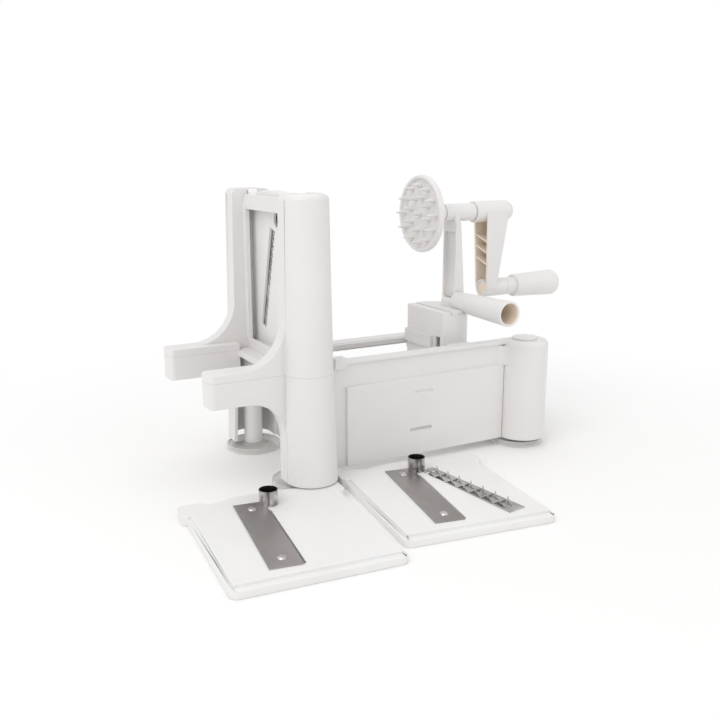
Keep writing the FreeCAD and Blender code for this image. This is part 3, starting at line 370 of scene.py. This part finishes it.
white = plastic("whitePlastic")
plateWhite = plastic("platePlastic")
ivoryAndPaintedShade = plastic("ivoryPlasticAndPaintedShade")
clear = plastic("clearPlastic")
steel = metal("bladeSteel")
chromePaintedReflection = metal("polishedSteelPaintedReflection")
rivetMetal = metal("rivetSteel")
paintedBoreShade = metal("paintedBoreShadeSteel")
toothSteel = metal("pointSteel")
print("materials are ready")


armReach = 70.6
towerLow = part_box("tower_frame")[0]
shaftLow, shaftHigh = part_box("crank_shaft")
spot = {"x": towerLow.x + armReach * mm, "y": (shaftLow.y + shaftHigh.y) / 2}   # tower face and crank plane


def at(x, y, z):
    # a place in millimetres from the tower face, the crank plane and the table
    return Vector((spot["x"] + x * mm, spot["y"] + y * mm, z * mm))


along = {"x": (0, 90, 0), "-y": (90, 0, 0), "z": (0, 0, 0)}
core = 0.4   # radius at which a turned profile leaves its axis


def lathed(name, rings, axis, start, sides=72, closed=False):
    # rings are (radius, distance along the axis) in millimetres; a closed profile ends where it starts
    nothingSelected()
    radius, rise = rings[0]
    bpy.ops.mesh.primitive_circle_add(vertices=sides, radius=radius * mm, location=(0, 0, rise * mm),
                                      fill_type="NOTHING" if closed else "NGON")
    piece = named(name)
    settled(piece)
    bpy.ops.object.mode_set(mode="EDIT")
    bpy.ops.mesh.select_mode(type="EDGE")
    bpy.ops.mesh.select_all(action="SELECT")
    for newRadius, newRise in rings[1:]:
        bpy.ops.mesh.extrude_edges_move(TRANSFORM_OT_translate={"value": (0, 0, (newRise - rise) * mm)})
        grow = newRadius / radius
        bpy.ops.transform.resize(value=(grow, grow, 1), center_override=(0, 0, newRise * mm))
        radius, rise = newRadius, newRise
    if not closed:
        bpy.ops.mesh.edge_face_add()
    bpy.ops.object.mode_set(mode="OBJECT")
    piece.rotation_euler = [math.radians(turn) for turn in along[axis]]
    piece.location = start
    settled(piece)
    outward(piece)
    return piece


def roundOver(radius, rise, size, first, last, steps=6):
    # rings of a quarter round between two angles in degrees about the centre of the round
    turns = [math.radians(first + (last - first) * step / steps) for step in range(steps + 1)]
    return [(radius + size * math.cos(turn), rise + size * math.sin(turn)) for turn in turns]


def softened(node, width, material, slot, degrees=35, segments=3, shape=None):
    # a moulded piece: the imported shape, merged, with every edge broken by a small round
    source = frame["nodes"][node]
    piece = bpy.data.objects.new(node + "_moulded", source.data.copy())
    bpy.context.scene.collection.objects.link(piece)
    only(piece)
    bpy.ops.object.mode_set(mode="EDIT")
    bpy.ops.mesh.select_all(action="SELECT")
    bpy.ops.mesh.remove_doubles(threshold=fine["packedMerge"] * mm)
    bpy.ops.mesh.customdata_custom_splitnormals_clear()
    bpy.ops.mesh.dissolve_limited(angle_limit=math.radians(fine["flatAngle"]))
    bpy.ops.object.mode_set(mode="OBJECT")
    if shape is not None:
        shape(piece)
    rounded(piece, width, segments, degrees)
    smoothed(piece)
    painted(piece, material)
    fitted(piece, source["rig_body"], slot, node)
    return piece


housings = {
    # width of the rounded edges in millimetres
    "tower_frame": 0.35, "front_base": 0.3, "side_panel_near": 0.4, "side_panel_far": 0.4,
    "rear_bridge": 0.6, "rear_post_cap_near": 0.5, "rear_post_cap_far": 0.5,
    "foot_stem_front_near": 0.5, "foot_stem_front_far": 0.5, "foot_stem_rear_near": 0.5,
    "foot_stem_rear_far": 0.5, "carriage_block": 0.5, "carriage_lid": 0.3, "carriage_clip": 0.2,
}
smallEdges = {"cup": 0.4, "metal": 0.2, "bearing": 0.3, "rivets": 0.3, "plate": 0.6, "blade": 0.08}
for node, width in housings.items():
    softened(node, width * mm, white, "white_plastic")
for side in ("front_near", "front_far", "rear_near", "rear_far"):
    softened("suction_cup_" + side, smallEdges["cup"] * mm, clear, "clear_plastic")
for node in ("tower_screws", "bridge_screws", "column_screws", "crank_shaft"):
    softened(node, smallEdges["metal"] * mm, rivetMetal, "zinc_steel")
for node in ("axle_bush", "grip_pin"):
    softened(node, smallEdges["bearing"] * mm, ivoryAndPaintedShade, "bearing_plastic")
print("housings are moulded")

column = {
    "front": 152.3, "low": 110.4, "top": 178.1, "head": 185.1, "deepLow": 10.3, "deepTop": 5, "half": 8.8,
    "groove": 6.8, "grooveDeep": 2.8, "grooveLow": 117.4, "grooveTop": 170.1, "edge": 0.7, "sides": 64,
    "collar": 9.4, "collarBack": 4.5, "collarTall": 7, "collarRound": 3,
    "boss": 7, "bossStart": 145, "bossLong": 28.7, "bossRound": 0.3, "bore": 5.55,
}


def makeColumn():
    # upright that thins upwards, grooved in front, with a round collar below and the bearing boss on top
    tall = column["top"] - column["low"]
    nothingSelected()
    bpy.ops.mesh.primitive_cube_add(size=1, location=(0.5, 0, 0.5))
    piece = named("supportColumn")
    settled(piece)
    piece.scale = (column["deepLow"] * mm, 2 * column["half"] * mm, tall * mm)
    settled(piece)
    pickVerts(piece, lambda co: co.x > mm and co.z > mm)
    bpy.ops.transform.translate(value=((column["deepTop"] - column["deepLow"]) * mm, 0, 0))
    pickFaces(piece, lambda face: face.normal.x < -0.9)
    wall = column["half"] - column["groove"]
    bpy.ops.mesh.inset(thickness=wall * mm)
    bpy.ops.mesh.extrude_region_move(TRANSFORM_OT_translate={"value": (0, 0, 0)})
    bpy.ops.object.mode_set(mode="OBJECT")
    ends = ((wall, column["grooveLow"] - column["low"]), (tall - wall, column["grooveTop"] - column["low"]))
    for old, new in ends:
        pickVerts(piece, lambda co: abs(co.z - old * mm) < 0.01 * mm)
        bpy.ops.transform.translate(value=(0, 0, (new - old) * mm))
    inner = (column["grooveLow"] - column["low"], column["grooveTop"] - column["low"])
    pickFaces(piece, lambda face: face.normal.x < -0.9 and abs(face.center.y) < 0.1 * mm
              and inner[0] * mm < face.center.z < inner[1] * mm)
    bpy.ops.transform.translate(value=(column["grooveDeep"] * mm, 0, 0))
    pickFaces(piece, lambda face: face.normal.z > 0.9 and face.center.z > (tall - 0.1) * mm)
    bpy.ops.mesh.extrude_region_move(TRANSFORM_OT_translate={"value": (0, 0, 0)})
    bpy.ops.transform.resize(value=(1, column["boss"] / column["half"], 1), center_override=(0, 0, tall * mm))
    bpy.ops.mesh.extrude_region_move(
        TRANSFORM_OT_translate={"value": (0, 0, (column["head"] - column["top"]) * mm)})
    bpy.ops.object.mode_set(mode="OBJECT")
    piece.location = at(column["front"], 0, column["low"])
    settled(piece)
    outward(piece)
    rounded(piece, column["edge"] * mm, 3)
    over, size = column["collarRound"], column["bossRound"]
    skirt = [(core, 0), (column["collar"], 0)]
    skirt += roundOver(column["collar"] - over, column["collarTall"] - over, over, 0, 90, 8)
    skirt += [(core, column["collarTall"])]
    collar = lathed("columnCollar", skirt, "z",
                    at(column["front"] + column["collarBack"], 0, column["low"]), column["sides"])
    tube = [(column["bore"], 0)]
    tube += roundOver(column["boss"] - size, size, size, 270, 360, 4)
    tube += roundOver(column["boss"] - size, column["bossLong"] - size, size, 0, 90, 4)
    tube += [(column["bore"], column["bossLong"]), (column["bore"], 0)]
    boss = lathed("columnBoss", tube, "x", at(column["bossStart"], 0, column["head"]), column["sides"],
                  closed=True)
    joined(piece, collar, boss)
    smoothed(piece, fine["roundShadeAngle"])
    painted(piece, white)
    fitted(piece, "carriage", "white_plastic", "support_column")


arm = {
    "edge": 0.3, "innerHalf": 6.1, "innerRootHalf": 7.9, "pinHeight": 122.1, "hubHeight": 185.1,
    "slack": 0.05, "tintFrom": 0.13, "tintTo": 0.9, "tintFacing": 0.3,
}


def makeCrankArm():
    piece = softened("crank_arm", arm["edge"] * mm, white, "white_plastic")

    # the inner faces of the arm's channel get the ivory material as painted warm shade
    def channelInPaintedShade(face):
        share = (face.center.z / mm - arm["pinHeight"]) / (arm["hubHeight"] - arm["pinHeight"])
        half = arm["innerHalf"] + share * (arm["innerRootHalf"] - arm["innerHalf"]) + arm["slack"]
        return arm["tintFrom"] < share < arm["tintTo"] and abs(face.center.y - spot["y"]) < half * mm \
            and face.normal.x < arm["tintFacing"]

    tinted(piece, ivoryAndPaintedShade, channelInPaintedShade)


wheel = {
    "face": 122.4, "height": 185.1, "radius": 29.8, "thick": 4.6, "rimRound": 1.8, "backRound": 1,
    "dish": 2.2,
    "dishSteps": ((6, 0), (1.2, 0.25), (0.2, 0.5)),   # in from the rim, and up from the floor of the dish
    "hubRadius": 7, "hubEnd": 22.1, "hubFillet": 1.5, "hubRound": 0.6, "bore": 4.1, "boreFloor": 0.2,
    "core": 0.3, "sides": 96,
    "spikeBase": 2.2, "spikeTip": 0.25, "spikeLength": 9.8, "spikeSides": 20, "spikeRoot": 0.2,
    "spikeInset": 0.2, "spikeRound": 0.08,
    "rings": ((12, 22, 0), (8, 13, 15), (1, 0, 0)),   # count, radius and first angle
}


def makeWheel():
    # dished disc with a thick round rim, a hub behind it and cone spikes in rings
    outer = wheel["radius"]
    size = wheel["rimRound"]
    inner = outer - 2 * size
    back, fillet, end = wheel["backRound"], wheel["hubFillet"], wheel["hubRound"]
    profile = [(wheel["core"], wheel["dish"])]
    profile += [(inner - inwards, wheel["dish"] - rise) for inwards, rise in wheel["dishSteps"]]
    profile += roundOver(outer - size, size, size, 180, 360, 10)
    profile += roundOver(outer - back, wheel["thick"] - back, back, 0, 90, 4)
    profile += roundOver(wheel["hubRadius"] + fillet, wheel["thick"] + fillet, fillet, 270, 180, 4)
    profile += roundOver(wheel["hubRadius"] - end, wheel["hubEnd"] - end, end, 0, 90, 3)
    profile += [(wheel["bore"], wheel["hubEnd"]), (wheel["bore"], wheel["thick"] + wheel["boreFloor"])]
    disc = lathed("pusherWheel", profile, "x", at(wheel["face"], 0, wheel["height"]), wheel["sides"])
    nothingSelected()
    bpy.ops.mesh.primitive_cone_add(vertices=wheel["spikeSides"], radius1=wheel["spikeBase"] * mm,
                                    radius2=wheel["spikeTip"] * mm, depth=wheel["spikeLength"] * mm)
    spike = named("spike")
    pickFaces(spike, lambda face: face.normal.z < -0.9)
    bpy.ops.mesh.inset(thickness=wheel["spikeInset"] * mm)
    pickFaces(spike, lambda face: face.normal.z > 0.9)
    bpy.ops.mesh.bevel(offset=wheel["spikeRound"] * mm, segments=2)
    bpy.ops.object.mode_set(mode="OBJECT")
    spike.rotation_euler = (0, math.radians(-90), 0)
    settled(spike)
    spikes = []
    middle = wheel["face"] + wheel["dish"] + wheel["spikeRoot"] - wheel["spikeLength"] / 2
    for count, reach, lead in wheel["rings"]:
        for index in range(count):
            turn = math.radians(lead + 360 * index / count)
            twin = copied(spike, "spike_%d_%d" % (reach, index))
            twin.location = at(middle, reach * math.cos(turn), wheel["height"] + reach * math.sin(turn))
            settled(twin)
            spikes.append(twin)
    only(spike)
    bpy.ops.object.delete()
    joined(disc, *spikes)
    smoothed(disc, fine["roundShadeAngle"])
    painted(disc, white)
    fitted(disc, "crank", "white_plastic", "pusher_wheel")


grip = {
    "start": 208.0, "height": 122.1, "pinBore": 3.1, "neck": 7.05, "neckRound": 0.5, "neckEnd": 9.7,
    "neckFillet": 0.4, "shoulder": 9.3, "shoulderRound": 0.7, "swell": ((9.75, 24), (10.37, 40)),
    "body": 10.72, "end": 55.8, "endRound": 6.0, "endFall": 0.02, "sides": 80,
}


def makeGrip():
    # narrow neck, swelling body and a widely rounded end
    neck, fillet = grip["neckRound"], grip["neckFillet"]
    shoulder, end = grip["shoulderRound"], grip["endRound"]
    profile = [(grip["pinBore"], neck), (grip["pinBore"], 0)]
    profile += roundOver(grip["neck"] - neck, neck, neck, 270, 360, 3)
    profile += roundOver(grip["neck"] + fillet, grip["neckEnd"] - fillet, fillet, 180, 90, 3)
    profile += roundOver(grip["shoulder"] - shoulder, grip["neckEnd"] + shoulder, shoulder, 270, 360, 4)
    profile += grip["swell"]
    profile += roundOver(grip["body"] - end, grip["end"] - end, end, 0, 90, 12)
    profile += [(core, grip["end"] - grip["endFall"])]
    piece = lathed("turningGrip", profile, "x", at(grip["start"], 0, grip["height"]), grip["sides"])
    smoothed(piece, fine["roundShadeAngle"])
    painted(piece, white)
    fitted(piece, "grip", "white_plastic", "crank_grip")


handle = {
    "x": 155.3, "height": 114.9, "root": 9.5, "end": 75.8, "rootRadius": 7.7, "endRadius": 9.7, "wall": 1.85,
    "floor": 3.5, "floorRadius": 6.45, "floorFall": 0.1, "lip": 0.85, "boreSlack": 0.2, "boreFrom": 2,
    "sides": 80,
}


def makeHandle():
    # tapered tube with a rolled lip, plain inside, with painted warm shade in its bore
    length = handle["end"] - handle["root"]
    lip = handle["lip"]
    wall = handle["wall"]
    profile = [(core, 0), (handle["rootRadius"], 0)]
    profile += roundOver(handle["endRadius"] - lip, length - lip, lip, 0, 90, 5)
    profile += roundOver(handle["endRadius"] - wall + lip, length - lip, lip, 90, 180, 5)
    profile += [(handle["floorRadius"], handle["floor"]), (core, handle["floor"] + handle["floorFall"])]
    piece = lathed("pushHandle", profile, "-y", at(handle["x"], -handle["root"], handle["height"]),
                   handle["sides"])
    smoothed(piece, fine["roundShadeAngle"])
    painted(piece, white)
    centre = at(handle["x"], 0, handle["height"])

    # the faces inside the bore get the ivory material as painted warm shade
    def inside(face):
        out = Vector((face.center.x - centre.x, 0, face.center.z - centre.z))
        return out.length < (handle["endRadius"] - wall + handle["boreSlack"]) * mm \
            and face.normal.dot(out) <= 0.0001 * mm \
            and face.center.y < centre.y - (handle["root"] + handle["boreFrom"]) * mm

    tinted(piece, ivoryAndPaintedShade, inside)
    fitted(piece, "carriage", "white_plastic", "push_handle")


makeColumn()
makeCrankArm()
makeWheel()
makeGrip()
makeHandle()
print("the crank and the handle are made")

# each cartridge has its own frame: u across, v up from its middle and w out of its face
cartridge = {
    "places": {"ribbon": (-46.7, -119.8, -5.1), "coarse": (69.5, -115.1, -7.6)},
    "seat": -2.7, "seatHeight": 145.6, "thick": 7.2,
    "ringUp": 39.5, "ringRadius": 6.25, "ringWall": 0.55, "ringSlack": 0.1, "bladeThick": 0.85,
}


def frameOf(name):
    # the matrix that takes a cartridge's own millimetres to the scene
    if name == "fine":
        turn = Matrix(((0, 0, 1), (1, 0, 0), (0, 1, 0))).to_4x4()
        return Matrix.Translation(at(cartridge["seat"], 0, cartridge["seatHeight"])) @ turn
    x, y, degrees = cartridge["places"][name]
    return Matrix.Translation(at(x, y, 0)) @ Matrix.Rotation(math.radians(degrees), 4, "Z")


cornerRounds = (
    # place of the corner on either side, and its radius
    ((56.5, 59.5), 3.2), ((40.5, 59.5), 2.6), ((36.5, 53.8), 3), ((22, 58.6), 9), ((56.5, 44), 1.6),
    ((7.3, 60), 6),
)
cornerSlack = 0.3


def plateCorners(name):
    back = frameOf(name).inverted()

    def shape(piece):
        for (u, v), size in cornerRounds:
            def upright(first, second):
                one, other = back @ first / mm, back @ second / mm
                flat = Vector((one.x - other.x, one.y - other.y)).length
                return flat < 0.05 and abs(abs(one.x) - u) < cornerSlack and abs(one.y - v) < cornerSlack
            pickEdges(piece, upright)
            bpy.ops.mesh.bevel(offset=size * mm, segments=5, affect="EDGES", clamp_overlap=True)
            bpy.ops.object.mode_set(mode="OBJECT")
    return shape


def makeBlade(name):
    # flat brushed blade with the polished coring ring at its corner, and painted shade inside the ring's bore
    piece = softened(name + "_blade", smallEdges["blade"] * mm, steel, "blade_steel")
    back = frameOf(name).inverted()

    def reach(local):
        return math.hypot(local.x, local.y - cartridge["ringUp"])

    def onRing(face):
        local = back @ face.center / mm
        return reach(local) < cartridge["ringRadius"] + cartridge["ringSlack"] \
            and local.z > cartridge["thick"] + cartridge["bladeThick"]

    # faces inside the ring's bore, painted near-black as painted shade
    def inRingPaintedShade(face):
        return reach(back @ face.center / mm) < cartridge["ringRadius"] - cartridge["ringWall"]

    tinted(piece, chromePaintedReflection, onRing)
    tinted(piece, paintedBoreShade, inRingPaintedShade)


teeth = {
    "turn": 15.5, "side": 18.4, "up": -5.9, "columns": (-7, -5.5, -0.4, 0.5, 5.8, 7), "half": 45,
    "low": (-7, -45), "kink": (-4.6, 41), "top": (1, 45), "thick": 0.6, "holeWall": 0.15,
    "tooth": 1.9, "toothTip": 0.06, "toothInset": 0.15, "toothFlat": 0.3, "toothOut": 0.9, "toothUp": 0.2,
    "toothSink": 0.05, "shade": 25,
    "rowHeights": ((1, 0.45), (3, 1)),   # column, and share of the full height
    "kinds": {"coarse": (7, 11.6, 4.4), "fine": (14, 5.9, 2.6)},   # rows, their distance and the full height
}


def toothedStrip(name):
    # strip with two columns of triangular holes, a bent-up point beside each
    rows, pitch, tall = teeth["kinds"][name]
    columns = teeth["columns"]
    nothingSelected()
    bpy.ops.mesh.primitive_grid_add(x_subdivisions=5, y_subdivisions=rows, size=1)
    strip = named(name + "TeethStrip")
    for index in (0, 5, 1, 4, 2, 3):
        old = index / 5 - 0.5
        pickVerts(strip, lambda co: abs(co.x - old) < 0.01)
        bpy.ops.transform.translate(value=(columns[index] - old, 0, 0))
    pickVerts(strip, lambda co: True)
    bpy.ops.transform.resize(value=(1, rows * pitch, 1), center_override=(0, 0, 0))
    for way in (1, -1):
        pickVerts(strip, lambda co: co.y * way > rows * pitch / 2 - 0.01)
        bpy.ops.mesh.select_mode(type="EDGE")
        bpy.ops.mesh.extrude_edges_move(
            TRANSFORM_OT_translate={"value": (0, way * (teeth["half"] - rows * pitch / 2), 0)})
        bpy.ops.object.mode_set(mode="OBJECT")

    def inCells(face):
        x, y = face.center.x, face.center.y
        return abs(y) < rows * pitch / 2 and (columns[1] < x < columns[2] or columns[3] < x < columns[4])

    pickFaces(strip, inCells)
    bpy.ops.mesh.quads_convert_to_tris(quad_method="FIXED")
    bpy.ops.object.mode_set(mode="OBJECT")

    def isHole(face):
        if not inCells(face) or len(face.vertices) != 3:
            return False
        middle = (columns[1] + columns[2]) / 2 if face.center.x < 0.5 else (columns[3] + columns[4]) / 2
        return face.center.x < middle

    pickFaces(strip, isHole)
    bpy.ops.mesh.inset(thickness=teeth["holeWall"], use_individual=True)
    bpy.ops.mesh.delete(type="FACE")
    bpy.ops.object.mode_set(mode="OBJECT")
    for first, second in ((teeth["low"], teeth["kink"]), (teeth["kink"], teeth["top"])):
        side = Vector((first[1] - second[1], second[0] - first[0], 0)).normalized()
        pickVerts(strip, lambda co: True)
        bpy.ops.mesh.bisect(plane_co=(first[0], first[1], 0), plane_no=side, clear_outer=True)
        bpy.ops.object.mode_set(mode="OBJECT")
    plate = strip.modifiers.new("plate", "SOLIDIFY")
    plate.thickness = teeth["thick"]
    plate.offset = 1
    applied(strip)
    points = []
    for row in range(rows):
        for column, height in teeth["rowHeights"]:
            y = (row - (rows - 1) / 2) * pitch
            if column == 1 and y + pitch / 2 > teeth["kink"][1]:
                continue
            nothingSelected()
            bpy.ops.mesh.primitive_cone_add(vertices=3, radius1=teeth["tooth"], radius2=teeth["toothTip"],
                                            depth=tall * height)
            point = named(name + "Point")
            pickFaces(point, lambda face: face.normal.z < -0.9)
            bpy.ops.mesh.inset(thickness=teeth["toothInset"])
            bpy.ops.object.mode_set(mode="OBJECT")
            point.scale = (1, teeth["toothFlat"], 1)
            point.location = ((columns[column] + columns[column + 1]) / 2 + teeth["toothOut"],
                              y + pitch * teeth["toothUp"],
                              teeth["thick"] + tall * height / 2 - teeth["toothSink"])
            settled(point)
            points.append(point)
    joined(strip, *points)
    scale = Matrix.Scale(mm, 4)
    lift = Matrix.Translation((teeth["side"] * mm, teeth["up"] * mm, cartridge["thick"] * mm))
    strip.matrix_world = frameOf(name) @ lift @ Matrix.Rotation(math.radians(teeth["turn"]), 4, "Z") @ scale
    settled(strip)
    outward(strip)
    smoothed(strip, teeth["shade"])
    painted(strip, toothSteel)
    fitted(strip, name + "_cartridge", "blade_steel", name + "_teeth")


for name in ("ribbon", "coarse", "fine"):
    softened(name + "_plate", smallEdges["plate"] * mm, plateWhite, "cartridge_plastic",
             shape=plateCorners(name))
    softened(name + "_rivets", smallEdges["rivets"] * mm, rivetMetal, "rivet_steel")
    makeBlade(name)
for name in ("coarse", "fine"):
    toothedStrip(name)
print("the cartridges are made")

studio = {
    "cameraPlace": (-242.56, -564.06, 230),
    "cameraTilt": 76.4,
    "cameraTurn": -29.0,
    "lens": 42.43,
    "sensor": 36,
    "floorHalf": 6,
    "fadeStart": 0.2,
    "fadeEnd": 0.5,
    "floorTone": (0.93, 0.925, 0.92, 1),
    "floorGloss": 0.75,
    "floorShine": 0.2,
    "worldLevel": 0.75,
    "farthest": 50,
    "aim": (0, 0, 0.1),
}
lamps = {
    # place and size in metres, and power in watts
    "keyLamp": ((-1.2, -0.6, 1.3), 1.2, 9),
    "fillLamp": ((0.9, -1.3, 0.9), 1.5, 3),
    "topLamp": ((0.1, 0.5, 1.6), 1.6, 5),
}


def floorMaterial():
    # pale floor that runs out into plain white away from the object
    material = bpy.data.materials.new("paleFloor")
    material.use_nodes = True
    tree = material.node_tree
    shader = tree.nodes["Principled BSDF"]
    shader.inputs["Base Color"].default_value = studio["floorTone"]
    shader.inputs["Roughness"].default_value = studio["floorGloss"]
    shader.inputs["Specular IOR Level"].default_value = studio["floorShine"]
    plain = tree.nodes.new("ShaderNodeEmission")
    place = tree.nodes.new("ShaderNodeTexCoord")
    reach = tree.nodes.new("ShaderNodeVectorMath")
    reach.operation = "LENGTH"
    tree.links.new(place.outputs["Object"], reach.inputs[0])
    fade = tree.nodes.new("ShaderNodeMapRange")
    fade.interpolation_type = "SMOOTHSTEP"
    fade.inputs["From Min"].default_value = studio["fadeStart"]
    fade.inputs["From Max"].default_value = studio["fadeEnd"]
    tree.links.new(reach.outputs["Value"], fade.inputs["Value"])
    path = tree.nodes.new("ShaderNodeLightPath")
    seen = tree.nodes.new("ShaderNodeMath")
    seen.operation = "MULTIPLY"
    tree.links.new(fade.outputs["Result"], seen.inputs[0])
    tree.links.new(path.outputs["Is Camera Ray"], seen.inputs[1])
    blend = tree.nodes.new("ShaderNodeMixShader")
    tree.links.new(seen.outputs["Value"], blend.inputs["Fac"])
    tree.links.new(shader.outputs["BSDF"], blend.inputs[1])
    tree.links.new(plain.outputs["Emission"], blend.inputs[2])
    tree.links.new(blend.outputs["Shader"], tree.nodes["Material Output"].inputs["Surface"])
    return material


def makeStudio():
    nothingSelected()
    bpy.ops.mesh.primitive_plane_add(size=2 * studio["floorHalf"], location=(0, 0, 0))
    floor = named("floor")
    painted(floor, floorMaterial())
    world = bpy.data.worlds.new("studioWorld")
    bpy.context.scene.world = world
    world.use_nodes = True
    tree = world.node_tree
    back = tree.nodes["Background"]
    back.inputs["Color"].default_value = (1, 1, 1, 1)
    path = tree.nodes.new("ShaderNodeLightPath")
    seen = tree.nodes.new("ShaderNodeMath")
    seen.operation = "MAXIMUM"
    tree.links.new(path.outputs["Is Camera Ray"], seen.inputs[0])
    tree.links.new(path.outputs["Is Transmission Ray"], seen.inputs[1])
    level = tree.nodes.new("ShaderNodeMapRange")
    level.inputs["To Min"].default_value = studio["worldLevel"]
    level.inputs["To Max"].default_value = 1
    tree.links.new(seen.outputs["Value"], level.inputs["Value"])
    tree.links.new(level.outputs["Result"], back.inputs["Strength"])


def areaLamp(name, place, size, level):
    lamp = bpy.data.lights.new(name, "AREA")
    lamp.energy = level
    lamp.size = size
    holder = bpy.data.objects.new(name, lamp)
    bpy.context.scene.collection.objects.link(holder)
    holder.location = place
    holder.rotation_euler = (Vector(studio["aim"]) - Vector(place)).to_track_quat("-Z", "Y").to_euler()


def makeCamera():
    camera = bpy.data.cameras.new("camera")
    camera.lens = studio["lens"]
    camera.sensor_width = studio["sensor"]
    camera.clip_end = studio["farthest"]
    holder = bpy.data.objects.new("camera", camera)
    bpy.context.scene.collection.objects.link(holder)
    holder.location = at(*studio["cameraPlace"])
    holder.rotation_euler = (math.radians(studio["cameraTilt"]), 0, math.radians(studio["cameraTurn"]))
    bpy.context.scene.camera = holder


makeStudio()
for name, (place, size, level) in lamps.items():
    areaLamp(name, place, size, level)
makeCamera()
bpy.context.scene.view_settings.view_transform = "Standard"
print("the studio is lit")
